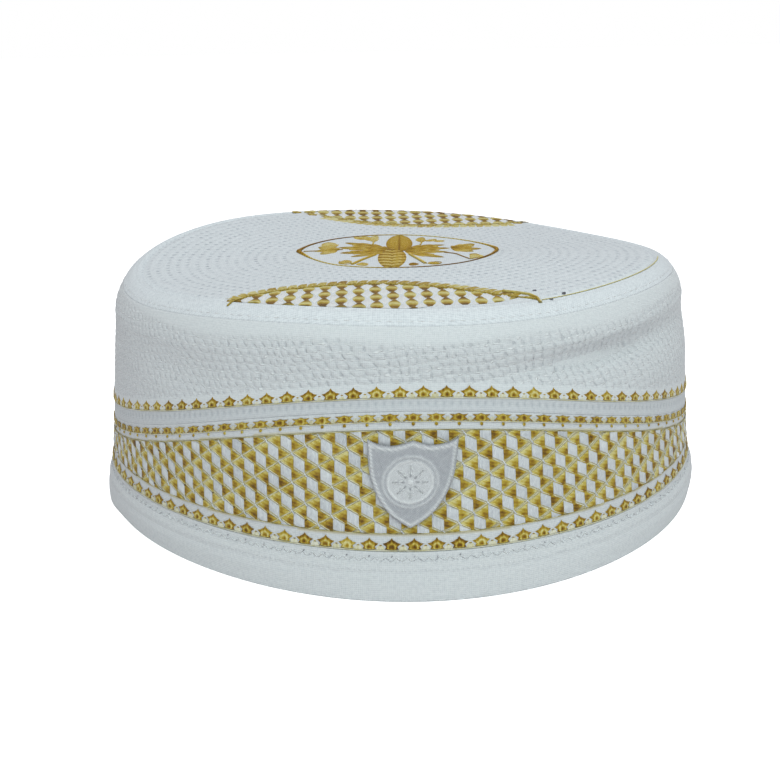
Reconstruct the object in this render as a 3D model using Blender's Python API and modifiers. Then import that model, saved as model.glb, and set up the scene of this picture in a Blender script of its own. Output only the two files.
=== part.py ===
# Prayer cap: a soft, flat-topped oval cap of quilted white cloth, standing on its hem.
# Pieces, from the floor up: hem band, cuff panel, rib tape, side panel, crown panel, badge.
# The badge faces -Y, up is +Z, and the hem rests on z = 0. Metres throughout.

import bpy
import math
import numpy as np

# Overall sizes
HALF_WIDTH = 0.0950        # outer face of the wall, half way up, left to right
HALF_DEPTH = 0.0899        # the same, front to back
CROWN_HEIGHT = 0.0752      # outer face of the crown at its middle
CLOTH = 0.0020             # quilted cloth, two layers and filling
HEM_CLOTH = 0.0026         # the hem is folded over, so it is thicker
GAP = 0.0003               # clearance between pieces that are sewn together
AROUND = 88                # steps around the cap
CENTRE_X = 0.00098         # the waves carry the outline off centre, so it is set back
CENTRE_Y = -0.00019

# Heights of the sewn lines
HEM_TOP = 0.0120           # hem band up to the foot of the cuff
HEM_SLOPE = 0.0010         # its upper edge falls inward, square to the leaning wall
RIB_FOOT_MEAN = 0.0386     # lower edge of the rib tape, mean height
RIB_FOOT_SWING = 0.0113    # it rises at front and back and falls at the sides
RIB_TOP_MEAN = 0.0431      # upper edge of the rib tape
RIB_TOP_SWING = 0.0106
RIB_RAISE = 0.0011         # the two ridges stand this far out
SEAM_AT = 0.53             # crown seam, as a share of the rounded shoulder
SEAM_OPEN = 0.0008         # the seam groove

# Rounded shoulder between wall and crown
SHOULDER_RISE = 0.0110
SHOULDER_RUN_SIDE = 0.0081
SHOULDER_RUN_FRONT = 0.0084
SHOULDER_POWER = 1.254

# Lean of the wall: height, step outward all round, further step at front and back
WALL_LEAN = {
    "height":  [0.0, 0.006, 0.0122, 0.020, 0.035, 0.050, 0.060, 0.070],
    "outward": [0.0029, 0.0040, 0.0023, 0.0012, 0.0, -0.0017, -0.0030, -0.0034],
    "ends":    [0.0051, 0.0026, 0.0003, 0.0, 0.0, 0.0, 0.0, 0.0],
}

# Waves of the outline: turns round the cap, cosine and sine parts at hem and at crown
OUTLINE_WAVES = [
    # turns, cos at hem, sin at hem, cos at crown, sin at crown
    (0, -0.0009, 0.0, -0.0009, 0.0),
    (2, 0.0, 0.00026, 0.0, -0.00057),
    (3, -0.00019, 0.00098, -0.00107, 0.00006),
    (4, 0.0009, 0.0, 0.0009, 0.0),
]

# Waves of the crown edge: turns, cosine part, sine part
CROWN_WAVES = [
    (1, -0.00114, -0.00114),
    (2, 0.00057, 0.00175),
    (3, 0.00039, -0.00076),
    (4, 0.0, -0.00064),
]

# Soft dents and swells of the wall: angle from the front, height, spreads, push outward
WALL_DENTS = [
    # degrees, height, spread in degrees, spread in height, push
    (48.0, 0.0600, 22.0, 0.0042, -0.0019),
    (50.0, 0.0480, 24.0, 0.0060, 0.0012),
    (-42.0, 0.0560, 12.0, 0.0060, -0.0010),
]

# Badge: a shield of satin cloth, its outline given for the right half
BADGE_ACROSS = 0.0033      # middle of the badge, to the right of the front
BADGE_HEIGHT = 0.0300
BADGE_CLOTH = 0.0008
BADGE_EDGE = {
    "across": [0.0, 0.0026, 0.0055, 0.0084, 0.0104, 0.0109, 0.0116],
    "top":    [0.0116, 0.0107, 0.0102, 0.0106, 0.0113, 0.0116, 0.0121],
    "bottom": [-0.0120, -0.0103, -0.0080, -0.0046, 0.0005, 0.0066, 0.0112],
}


def glide(x, knots, values):
    """Smooth curve through the knots, level beyond both ends."""
    knots = np.array(knots)
    values = np.array(values)
    slopes = np.gradient(values, knots)
    x = np.clip(x, knots[0], knots[-1])
    i = np.clip(np.searchsorted(knots, x, side="right") - 1, 0, len(knots) - 2)
    step = knots[i + 1] - knots[i]
    t = (x - knots[i]) / step
    rise = values[i] * (2 * t**3 - 3 * t**2 + 1) + values[i + 1] * (3 * t**2 - 2 * t**3)
    return rise + step * (slopes[i] * (t**3 - 2 * t**2 + t) + slopes[i + 1] * (t**3 - t**2))


def outline_wave(angle, share):
    """Wave of the outline, share 0 at the hem and 1 at the crown."""
    total = 0.0 * angle
    for turns, cos_hem, sin_hem, cos_crown, sin_crown in OUTLINE_WAVES:
        total = total + (cos_hem + (cos_crown - cos_hem) * share) * np.cos(turns * angle)
        total = total + (sin_hem + (sin_crown - sin_hem) * share) * np.sin(turns * angle)
    return total


def crown_edge_height(angle):
    """Height of the outer face where the shoulder turns level."""
    total = CROWN_HEIGHT + 0.0 * angle
    for turns, cos_part, sin_part in CROWN_WAVES:
        total = total + cos_part * np.cos(turns * angle) + sin_part * np.sin(turns * angle)
    return total


def wall_point(angle, height, out=0.0):
    """Outer face of the wall; angle runs from the front toward +X, out moves off the face."""
    share = np.clip((height - 0.013) / 0.050, 0.0, 1.0)
    push = glide(height, WALL_LEAN["height"], WALL_LEAN["outward"]) + outline_wave(angle, share)
    for degrees, at_height, spread, spread_height, depth in WALL_DENTS:
        across = (angle - math.radians(degrees)) / math.radians(spread)
        along = (height - at_height) / spread_height
        push = push + depth * np.exp(-across**2 - along**2)
    ends = glide(height, WALL_LEAN["height"], WALL_LEAN["ends"])
    x = (HALF_WIDTH + push + out) * np.sin(angle)
    y = -(HALF_DEPTH + push + ends + out) * np.cos(angle)
    return np.stack([x, y, height + 0.0 * angle], axis=-1)


def shoulder_point(angle, share):
    """Rounded shoulder, share 0 at the top of the wall and 1 at the edge of the crown."""
    turn = share * math.pi / 2
    run = 1.0 - max(math.cos(turn), 0.0) ** SHOULDER_POWER
    drop = 1.0 - max(math.sin(turn), 0.0) ** SHOULDER_POWER
    start = wall_point(angle, crown_edge_height(angle) - SHOULDER_RISE)
    x = start[..., 0] - SHOULDER_RUN_SIDE * run * np.sin(angle)
    y = start[..., 1] + SHOULDER_RUN_FRONT * run * np.cos(angle)
    return np.stack([x, y, crown_edge_height(angle) - SHOULDER_RISE * drop], axis=-1)


def crown_point(angle, share):
    """Top of the crown, share 1 at its edge and 0 in the middle; waves die out inward."""
    edge = shoulder_point(angle, 1.0)
    height = CROWN_HEIGHT + (edge[..., 2] - CROWN_HEIGHT) * share**2
    return np.stack([edge[..., 0] * share, edge[..., 1] * share, height], axis=-1)


def rib_foot(angle):
    return RIB_FOOT_MEAN + RIB_FOOT_SWING * np.cos(2 * angle)


def rib_top(angle):
    return RIB_TOP_MEAN + RIB_TOP_SWING * np.cos(2 * angle)


def new_material(name, colour, roughness):
    material = bpy.data.materials.new(name)
    material.use_nodes = True
    shader = material.node_tree.nodes["Principled BSDF"]
    shader.inputs["Base Color"].default_value = (*colour, 1.0)
    shader.inputs["Roughness"].default_value = roughness
    return material


def add_object(name, points, faces, material):
    """A smooth mesh object in the cap's collection, its outline set over the origin."""
    centred = np.array(points) + (CENTRE_X, CENTRE_Y, 0.0)
    mesh = bpy.data.meshes.new(name)
    mesh.from_pydata(centred.tolist(), [], faces)
    mesh.update()
    mesh.materials.append(material)
    obj = bpy.data.objects.new(name, mesh)
    cap.objects.link(obj)
    for polygon in mesh.polygons:
        polygon.use_smooth = True
    return obj


def ring_faces(rows, closed):
    """Quads between rows of AROUND points, the last row joined to the first when closed."""
    faces = []
    for row in range(rows if closed else rows - 1):
        upper = (row + 1) % rows
        for step in range(AROUND):
            after = (step + 1) % AROUND
            faces.append((row * AROUND + step, row * AROUND + after,
                          upper * AROUND + after, upper * AROUND + step))
    return faces


def thicken(obj, thickness):
    """Give an open sheet its cloth thickness on the inner side."""
    solidify = obj.modifiers.new("cloth thickness", "SOLIDIFY")
    solidify.thickness = thickness
    solidify.offset = -1.0
    solidify.use_even_offset = True


def sewn_ring(name, rows, thickness, material):
    """A band of cloth from rows of points, lowest row first."""
    obj = add_object(name, np.concatenate(rows), ring_faces(len(rows), False), material)
    thicken(obj, thickness)
    return obj


for old in list(bpy.data.objects):
    bpy.data.objects.remove(old, do_unlink=True)

cap = bpy.data.collections.new("Prayer cap")
bpy.context.scene.collection.children.link(cap)

angles = np.arange(AROUND) * 2 * math.pi / AROUND

# Hem band: folded cloth with a flat foot, so its section is carried round as a closed loop
hem_rows = []
for height, inward in [(0.0, 0.0004), (0.0008, 0.0), (0.0040, 0.0), (0.0080, 0.0),
                       (HEM_TOP - GAP, 0.0)]:
    hem_rows.append(wall_point(angles, height, -inward))
for height, inward in [(HEM_TOP - GAP - HEM_SLOPE, 0.0), (0.0060, 0.0), (0.0008, 0.0),
                       (0.0, 0.0004)]:
    hem_rows.append(wall_point(angles, height, inward - HEM_CLOTH))
add_object("hem_band", np.concatenate(hem_rows), ring_faces(len(hem_rows), True),
           new_material("plain white hem cloth", (0.80, 0.81, 0.83), 0.85))

# Cuff panel: tall at front and back, low at the sides
cuff_rows = []
for share in (0.0, 0.25, 0.5, 0.75, 1.0):
    low = HEM_TOP
    high = rib_foot(angles) - GAP
    cuff_rows.append(wall_point(angles, low + (high - low) * share))
sewn_ring("cuff_panel", cuff_rows, CLOTH,
          new_material("embroidered cuff cloth", (0.72, 0.70, 0.55), 0.8))

# Rib tape: two raised ridges side by side
rib_rows = []
for share, raised in ((0.0, 0.0), (0.14, 1.0), (0.38, 1.0), (0.5, 0.15),
                      (0.62, 1.0), (0.86, 1.0), (1.0, 0.0)):
    height = rib_foot(angles) + (rib_top(angles) - rib_foot(angles)) * share
    rib_rows.append(wall_point(angles, height, RIB_RAISE * raised))
sewn_ring("rib_tape", rib_rows, CLOTH,
          new_material("white corded tape", (0.84, 0.85, 0.87), 0.8))

# Side panel: from the ribs up over half of the shoulder
side_rows = []
wall_top = crown_edge_height(angles) - SHOULDER_RISE
for share in (0.0, 0.34, 0.67, 1.0):
    low = rib_top(angles) + GAP
    side_rows.append(wall_point(angles, low + (wall_top - low) * share))
for share in (0.17, 0.35, SEAM_AT - 0.5 * SEAM_OPEN / 0.0150):
    side_rows.append(shoulder_point(angles, share))
sewn_ring("side_panel", side_rows, CLOTH,
          new_material("quilted white side cloth", (0.82, 0.83, 0.85), 0.8))

# Crown panel: the other half of the shoulder and the flat top, closed in the middle
crown_rows = []
for share in (SEAM_AT + 0.5 * SEAM_OPEN / 0.0150, 0.70, 0.86, 1.0):
    crown_rows.append(shoulder_point(angles, share))
for share in (0.72, 0.36):
    crown_rows.append(crown_point(angles, share))
crown_points = np.concatenate(crown_rows).tolist()
crown_faces = ring_faces(len(crown_rows), False)
middle = len(crown_points)
crown_points.append((0.0, 0.0, CROWN_HEIGHT))
last = (len(crown_rows) - 1) * AROUND
for step in range(AROUND):
    crown_faces.append((last + step, last + (step + 1) % AROUND, middle))
crown = add_object("crown_panel", crown_points, crown_faces,
                   new_material("quilted white crown cloth", (0.85, 0.86, 0.88), 0.8))
thicken(crown, CLOTH)

# Badge: columns from its upper to its lower edge, laid round the front of the cuff
badge_points = []
badge_faces = []
columns = np.linspace(-1.0, 1.0, 17) * BADGE_EDGE["across"][-1]
for column in columns:
    top = np.interp(abs(column), BADGE_EDGE["across"], BADGE_EDGE["top"])
    bottom = np.interp(abs(column), BADGE_EDGE["across"], BADGE_EDGE["bottom"])
    for share in (0.0, 0.25, 0.5, 0.75, 1.0):
        angle = np.array((BADGE_ACROSS + column) / HALF_DEPTH)
        height = BADGE_HEIGHT + bottom + (top - bottom) * share
        badge_points.append(wall_point(angle, height, BADGE_CLOTH + GAP + 0.0001).tolist())
for column in range(len(columns) - 1):
    for row in range(4):
        corner = column * 5 + row
        badge_faces.append((corner, corner + 5, corner + 6, corner + 1))
badge = add_object("badge", badge_points, badge_faces,
                   new_material("white satin badge", (0.78, 0.78, 0.84), 0.45))
thicken(badge, BADGE_CLOTH)
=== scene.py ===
import math

import bpy
import numpy as np
from mathutils import Matrix, Vector


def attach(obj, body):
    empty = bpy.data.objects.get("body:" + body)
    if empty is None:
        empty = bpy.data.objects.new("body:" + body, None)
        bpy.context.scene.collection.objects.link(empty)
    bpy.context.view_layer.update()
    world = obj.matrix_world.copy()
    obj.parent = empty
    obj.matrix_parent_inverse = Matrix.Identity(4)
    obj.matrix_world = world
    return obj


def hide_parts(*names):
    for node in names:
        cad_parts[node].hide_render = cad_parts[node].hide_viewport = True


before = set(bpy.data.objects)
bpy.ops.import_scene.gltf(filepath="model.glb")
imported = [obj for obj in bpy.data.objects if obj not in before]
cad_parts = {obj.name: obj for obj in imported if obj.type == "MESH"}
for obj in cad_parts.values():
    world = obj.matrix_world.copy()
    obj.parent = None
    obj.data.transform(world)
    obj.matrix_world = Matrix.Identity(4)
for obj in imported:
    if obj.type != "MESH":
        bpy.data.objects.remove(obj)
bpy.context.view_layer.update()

# Camera, light and floor. The cap stands on a plain pale table and is seen from the front, a little above
# its crown. One broad soft lamp hangs over the front and a weaker one over the crown, and a pale room
# fills in the rest; the camera sees that room as plain white.

LENS_MM = 50.96
SHIFT_RIGHT = -0.01426
EYE = (0.00098, -0.36019, 0.14517)
TILT = math.radians(71.86)
ROLL = -0.0193
LAMPS = [
    # name, place, point that it faces, side, power in watts, colour
    ("lamp over the front", (0.10, -0.66, 0.90), (0.0, 0.0, 0.05), 0.9, 7.4, (0.83, 1.0, 0.965)),
    ("lamp over the crown", (0.08, 0.16, 1.0), (0.0, 0.0, 0.08), 0.8, 1.9, (0.95, 0.97, 1.0)),
]
ROOM_COLOUR = (1.0, 0.905, 0.955, 1.0)
ROOM_STRENGTH = 0.37
CLEAR_WHITE = (1.0, 1.0, 1.0, 1.0)
FLOOR_HALF = 7.0
FLOOR_COLOURS = ((0.955, 0.955, 0.96, 1.0), (0.985, 0.985, 0.985, 1.0))
FLOOR_GLOW = 0.8

camera_data = bpy.data.cameras.new("camera")
camera_data.sensor_width = 36.0
camera_data.lens = LENS_MM
camera_data.shift_x = SHIFT_RIGHT
camera_data.clip_start = 0.01
camera = bpy.data.objects.new("camera", camera_data)
bpy.context.scene.collection.objects.link(camera)
camera.matrix_world = (Matrix.Translation(EYE) @ Matrix.Rotation(TILT, 4, "X")
                       @ Matrix.Rotation(ROLL, 4, "Z"))
bpy.context.scene.camera = camera
bpy.context.scene.view_settings.view_transform = "Standard"


def add_node(tree, kind, **values):
    """A new shader node, with its inputs set by name."""
    node = tree.nodes.new("ShaderNode" + kind)
    for name, value in values.items():
        node.inputs[name].default_value = value
    return node


def wire(tree, *links):
    """Links sockets, each pair from an output to an input."""
    for source, target in links:
        tree.links.new(source, target)


for name, place, aim, side, power, colour in LAMPS:
    data = bpy.data.lights.new(name, "AREA")
    data.size = side
    data.energy = power
    data.color = colour
    lamp = bpy.data.objects.new(name, data)
    bpy.context.scene.collection.objects.link(lamp)
    turn = (Vector(place) - Vector(aim)).to_track_quat("Z", "Y")
    lamp.matrix_world = Matrix.Translation(place) @ turn.to_matrix().to_4x4()

world = bpy.data.worlds.new("white room")
bpy.context.scene.world = world
world.use_nodes = True
world.node_tree.nodes.clear()
room = add_node(world.node_tree, "Background", Color=ROOM_COLOUR, Strength=ROOM_STRENGTH)
seen = add_node(world.node_tree, "Background", Color=CLEAR_WHITE)
either = add_node(world.node_tree, "MixShader")
rays = add_node(world.node_tree, "LightPath")
room_out = add_node(world.node_tree, "OutputWorld")
wire(world.node_tree,
     (rays.outputs["Is Camera Ray"], either.inputs[0]),
     (room.outputs[0], either.inputs[1]),
     (seen.outputs[0], either.inputs[2]),
     (either.outputs[0], room_out.inputs["Surface"]))

floor_mesh = bpy.data.meshes.new("floor")
floor_corners = [(FLOOR_HALF * x, FLOOR_HALF * y, 0.0) for x, y in ((-1, -1), (1, -1), (1, 1), (-1, 1))]
floor_mesh.from_pydata(floor_corners, [], [(0, 1, 2, 3)])
floor = bpy.data.objects.new("floor", floor_mesh)
bpy.context.scene.collection.objects.link(floor)
floor_paint = bpy.data.materials.new("pale table top")
floor_paint.use_nodes = True
tree = floor_paint.node_tree
floor_shader = tree.nodes["Principled BSDF"]
floor_shader.inputs["Roughness"].default_value = 0.9
floor_shader.inputs["Specular IOR Level"].default_value = 0.1
floor_place = add_node(tree, "TexCoord")
floor_noise = add_node(tree, "TexNoise", Scale=3.0)
floor_ramp = add_node(tree, "ValToRGB")
for element, colour in zip(floor_ramp.color_ramp.elements, FLOOR_COLOURS):
    element.color = colour
floor_rays = add_node(tree, "LightPath")
floor_lit = add_node(tree, "Emission", Strength=FLOOR_GLOW)
floor_dark = add_node(tree, "Emission", Strength=0.0)
floor_either = add_node(tree, "MixShader")
floor_both = add_node(tree, "AddShader")
wire(tree,
     (floor_place.outputs["Object"], floor_noise.inputs["Vector"]),
     (floor_noise.outputs["Fac"], floor_ramp.inputs["Fac"]),
     (floor_ramp.outputs["Color"], floor_shader.inputs["Base Color"]),
     (floor_rays.outputs["Is Camera Ray"], floor_either.inputs[0]),
     (floor_dark.outputs[0], floor_either.inputs[1]),
     (floor_lit.outputs[0], floor_either.inputs[2]),
     (floor_shader.outputs[0], floor_both.inputs[0]),
     (floor_either.outputs[0], floor_both.inputs[1]),
     (floor_both.outputs[0], tree.nodes["Material Output"].inputs["Surface"]))
floor_mesh.materials.append(floor_paint)

# Hem band. The lowest piece is a strip of plain white cotton, folded double so that its foot is rounded
# and stands flat on the table. Two rows of white zigzag stitches hold its upper edge, with needle marks
# beside them, and one row of straight stitches runs just above the foot.

MM = 0.001
HALF_WIDTH = 0.0950
HALF_DEPTH = 0.0899
CROWN_HEIGHT = 0.0752
CENTRE = np.array([0.00098, -0.00019, 0.0])
HEM_TOP = 0.0120
HEM_CLOTH = 0.0026
CLOTH = 0.0020
GAP = 0.0003
TUCK = 0.0002
WHITE = (0.675, 0.69, 0.705)
SHADE = (0.33, 0.36, 0.40)
THREAD_WHITE = (0.80, 0.82, 0.84)
WEAVE_PITCH = 0.52
WEAVE_DEPTH = 0.00012
HEM_COLUMNS = 640
HEM_OUTER = [
    # height and inset of the outer face, from the foot to the upper edge
    (0.0, 0.0004), (0.0002, 0.0001), (0.0007, 0.0), (0.0020, 0.0), (0.0034, 0.0), (0.0048, 0.0),
    (0.0060, 0.0), (0.0066, 0.0003), (0.0070, 0.0003), (0.0076, 0.0), (0.0084, -0.0002), (0.0092, -0.0001),
    (0.0100, 0.0003), (0.0105, 0.0003), (0.0110, 0.0002), (0.0114, 0.0001), (HEM_TOP, 0.0001),
]
HEM_INNER = [(0.0106, 0.0), (0.0060, 0.0), (0.0008, 0.0), (0.0, 0.0006)]
HEM_NEEDLE_LINES = ((11.0, 0.08), (8.4, 0.07))
LIE_SHIFT = 7.3
NO_AREA = 1e-10
HEM_RUN_HEIGHT = 0.0100
ZIGZAGS = 206
ZIGZAG_HEIGHTS = (0.0102, 0.0082)
ZIGZAG_RISE = 0.95
LOWER_STARS = 97
LOWER_STARS_FROM = 0.00277
UNDER_STARS_HEIGHT = 0.0108
FOOT_STITCHES = 122
FOOT_STITCH_HEIGHT = 0.00045
FOOT_STITCH_SUNK = 0.00012
WALL_LEAN = {
    "height":  [0.0, 0.006, 0.0122, 0.020, 0.035, 0.050, 0.060, 0.070],
    "outward": [0.0029, 0.0040, 0.0023, 0.0012, 0.0, -0.0017, -0.0030, -0.0034],
    "ends":    [0.0051, 0.0026, 0.0003, 0.0, 0.0, 0.0, 0.0, 0.0],
}
OUTLINE_WAVES = [
    # turns, cosine and sine at the hem, cosine and sine at the crown
    (0, -0.0009, 0.0, -0.0009, 0.0),
    (2, 0.0, 0.00026, 0.0, -0.00057),
    (3, -0.00019, 0.00098, -0.00107, 0.00006),
    (4, 0.0009, 0.0, 0.0009, 0.0),
]
WALL_DENTS = [
    # degrees from the front, height, spread in degrees, spread in height, push outward
    (48.0, 0.0600, 22.0, 0.0042, -0.0019),
    (50.0, 0.0480, 24.0, 0.0060, 0.0012),
    (-42.0, 0.0560, 12.0, 0.0060, -0.0010),
    (-88.0, 0.0020, 8.0, 0.0060, -0.0016),
    (-74.0, 0.0, 6.0, 0.0050, 0.0013),
    (-92.0, 0.0400, 35.0, 0.0200, -0.0004),
    (7.0, 0.0, 33.0, 0.0040, 0.0010),
]


def glide(x, knots, values):
    """Smooth curve through knots: a cubic between each pair, its slopes those of the knots' neighbours."""
    knots, values = np.array(knots), np.array(values)
    slopes = np.gradient(values, knots)
    x = np.clip(x, knots[0], knots[-1])
    i = np.clip(np.searchsorted(knots, x, side="right") - 1, 0, len(knots) - 2)
    step = knots[i + 1] - knots[i]
    t = (x - knots[i]) / step
    rise = values[i] * (2 * t**3 - 3 * t**2 + 1) + values[i + 1] * (3 * t**2 - 2 * t**3)
    return rise + step * (slopes[i] * (t**3 - 2 * t**2 + t) + slopes[i + 1] * (t**3 - t**2))


def wall_point(angle, height, out=0.0):
    """Outer face of the wall: an oval of the half sizes, pushed out by the lean, waves and dents at that
    height. The angle runs from the front toward the right, and out moves the point off the face."""
    angle, height = np.broadcast_arrays(angle, height)
    share = np.clip((height - 0.013) / 0.050, 0.0, 1.0)
    push = glide(height, WALL_LEAN["height"], WALL_LEAN["outward"])
    for turns, cos_hem, sin_hem, cos_crown, sin_crown in OUTLINE_WAVES:
        push = push + (cos_hem + (cos_crown - cos_hem) * share) * np.cos(turns * angle)
        push = push + (sin_hem + (sin_crown - sin_hem) * share) * np.sin(turns * angle)
    for degrees, at_height, spread, spread_height, depth in WALL_DENTS:
        across = ((angle - math.radians(degrees) + math.pi) % (2 * math.pi) - math.pi) / math.radians(spread)
        push = push + depth * np.exp(-across**2 - ((height - at_height) / spread_height)**2)
    ends = glide(height, WALL_LEAN["height"], WALL_LEAN["ends"])
    x = (HALF_WIDTH + push + out) * np.sin(angle)
    y = -(HALF_DEPTH + push + ends + out) * np.cos(angle)
    return np.stack([x, y, height + 0.0 * x], axis=-1)


ROUND = np.linspace(-math.pi, math.pi, 2881)


def gone_along(points):
    """Distance gone at each point of a path: chords summed."""
    return np.concatenate([[0.0], np.cumsum(np.linalg.norm(np.diff(points, axis=0), axis=1))])


def run_round(height_line):
    """Distance along the wall for each angle in ROUND, at the heights that the line gives: short chords
    summed, with nought at the front."""
    run = gone_along(wall_point(ROUND, height_line(ROUND)))
    return run - run[len(run) // 2]


def angle_at(distance, run):
    """Angle at a distance along such a run, which closes on itself at the back."""
    return np.interp((distance - run[0]) % (run[-1] - run[0]) + run[0], run, ROUND)


def new_piece(name, points, faces, material, maps=None, marks=None):
    """A smooth mesh at the origin. points are off the cap's middle, faces a list of arrays of corners,
    maps hold a pair for each point or each corner, and marks hold one value for each point."""
    points = (np.asarray(points, float).reshape(-1, 3) + CENTRE).astype(np.float32)
    sizes = np.concatenate([np.full(len(part), part.shape[1]) for part in faces])
    corners = np.concatenate([np.asarray(part).ravel() for part in faces]).astype(np.int32)
    mesh = bpy.data.meshes.new(name)
    mesh.vertices.add(len(points))
    mesh.vertices.foreach_set("co", points.ravel())
    mesh.loops.add(len(corners))
    mesh.loops.foreach_set("vertex_index", corners)
    mesh.polygons.add(len(sizes))
    mesh.polygons.foreach_set("loop_start", np.concatenate([[0], np.cumsum(sizes)[:-1]]).astype(np.int32))
    mesh.polygons.foreach_set("use_smooth", np.ones(len(sizes), bool))
    mesh.update(calc_edges=True)
    for title, values in (maps or {}).items():
        values = np.asarray(values, np.float32).reshape(-1, 2)
        layer = mesh.uv_layers.new(name=title)
        layer.data.foreach_set("uv", (values if len(values) == len(corners) else values[corners]).ravel())
    for title, values in (marks or {}).items():
        mark = mesh.attributes.new(title, "FLOAT", "POINT")
        mark.data.foreach_set("value", np.asarray(values, np.float32).ravel())
    mesh.materials.append(material)
    piece = bpy.data.objects.new(name, mesh)
    bpy.context.scene.collection.objects.link(piece)
    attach(piece, "root")
    return piece


def ring_faces(rows, columns, closed):
    """Quads between rows of points that run round the cap; a closed section joins the last row to the
    first. The second result is each corner's row and column, not wrapped, for a UV map."""
    row, column = np.meshgrid(np.arange(rows if closed else rows - 1), np.arange(columns), indexing="ij")
    r = np.stack([row, row, row + 1, row + 1], axis=-1).reshape(-1, 4)
    c = np.stack([column, column + 1, column + 1, column], axis=-1).reshape(-1, 4)
    return (r % rows) * columns + c % columns, (r, c)


def cloth_map(rows, spots):
    """UV map of a ring in millimetres: across is the distance round one row a third of the way on, and up
    is the distance along the section from the first row."""
    closed = np.concatenate([rows, rows[:1]])
    closed = np.concatenate([closed, closed[:, :1]], axis=1)
    across = gone_along(closed[len(closed) // 3])
    up = np.zeros(closed.shape[:2])
    up[1:] = np.cumsum(np.linalg.norm(np.diff(closed, axis=0), axis=2), axis=0)
    r, c = spots
    return np.stack([across[c], up[r, c]], axis=-1) / MM


def feed(tree, value, socket):
    """Links a socket to an input, or sets the input to a number or colour."""
    if isinstance(value, bpy.types.NodeSocket):
        tree.links.new(value, socket)
    else:
        socket.default_value = value


def maths(tree, operation, *values):
    """One Math node: each value is a number or a socket, and its result comes back."""
    node = add_node(tree, "Math")
    node.operation = operation
    for socket, value in zip(node.inputs, values):
        feed(tree, value, socket)
    return node.outputs[0]


def parts_of(tree, vector):
    """The three parts of a vector."""
    node = add_node(tree, "SeparateXYZ")
    tree.links.new(vector, node.inputs[0])
    return node.outputs


def noise(tree, place, scale, detail=2.0):
    """A noise over places, with its outputs Fac and Color."""
    node = add_node(tree, "TexNoise", Scale=scale, Detail=detail)
    tree.links.new(place, node.inputs["Vector"])
    return node.outputs


def fade(tree, value, start, end):
    """One at start, nought at end, and an S-curve between them."""
    node = add_node(tree, "MapRange")
    node.interpolation_type = "SMOOTHSTEP"
    ends = {"Value": value, "From Min": start, "From Max": end, "To Min": 1.0, "To Max": 0.0}
    for name, number in ends.items():
        feed(tree, number, node.inputs[name])
    return node.outputs["Result"]


def new_group(name, inputs, outputs):
    """An empty shader node group with named inputs and their first values, and named outputs."""
    tree = bpy.data.node_groups.new(name, "ShaderNodeTree")
    for title, value in inputs.items():
        kind = "NodeSocketVector" if value is None else "NodeSocketFloat"
        socket = tree.interface.new_socket(title, in_out="INPUT", socket_type=kind)
        if value is not None:
            socket.default_value = value
    for title in outputs:
        tree.interface.new_socket(title, in_out="OUTPUT", socket_type="NodeSocketFloat")
    return tree, tree.nodes.new("NodeGroupInput").outputs, tree.nodes.new("NodeGroupOutput").inputs


def plain_weave():
    """Plain weave: two sets of sine ridges at right angles, weft stronger than warp, with slubs from a
    stretched noise. Place is in millimetres."""
    tree, given, made = new_group("plain weave", {"Place": None, "Pitch": 0.5, "Slub": 0.5},
                                  ("Height", "Tone"))
    place = parts_of(tree, given["Place"])
    waves = []
    for axis in (0, 1):
        turns = maths(tree, "DIVIDE", place[axis], given["Pitch"])
        waves.append(maths(tree, "SINE", maths(tree, "MULTIPLY", turns, 2 * math.pi)))
    slub = noise(tree, given["Place"], 1.1, 4.0)["Fac"]
    uneven = maths(tree, "MULTIPLY", maths(tree, "SUBTRACT", slub, 0.5), given["Slub"])
    warp, weft = maths(tree, "MULTIPLY", waves[0], 0.2), maths(tree, "MULTIPLY", waves[1], 0.3)
    ridges = maths(tree, "ADD", warp, weft)
    tree.links.new(maths(tree, "ADD", ridges, uneven), made["Height"])
    tree.links.new(maths(tree, "ADD", maths(tree, "MULTIPLY", ridges, 0.3), uneven), made["Tone"])
    return tree


def needle_row():
    """A row of needle marks or short stitches: oval spots at one pitch along a line at one height."""
    tree, given, made = new_group(
        "needle row", {"Place": None, "Pitch": 3.0, "Line": 10.0, "Long": 0.5, "Tall": 0.3}, ("Mask",))
    place = parts_of(tree, given["Place"])
    turns = maths(tree, "DIVIDE", place[0], given["Pitch"])
    off_line = maths(tree, "MULTIPLY", maths(tree, "PINGPONG", turns, 0.5), given["Pitch"])
    across = maths(tree, "DIVIDE", off_line, given["Long"])
    up = maths(tree, "DIVIDE", maths(tree, "SUBTRACT", place[1], given["Line"]), given["Tall"])
    far = maths(tree, "ADD", maths(tree, "MULTIPLY", across, across), maths(tree, "MULTIPLY", up, up))
    tree.links.new(fade(tree, far, 0.3, 1.4), made["Mask"])
    return tree


weave_group = plain_weave()
needle_group = needle_row()


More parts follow.
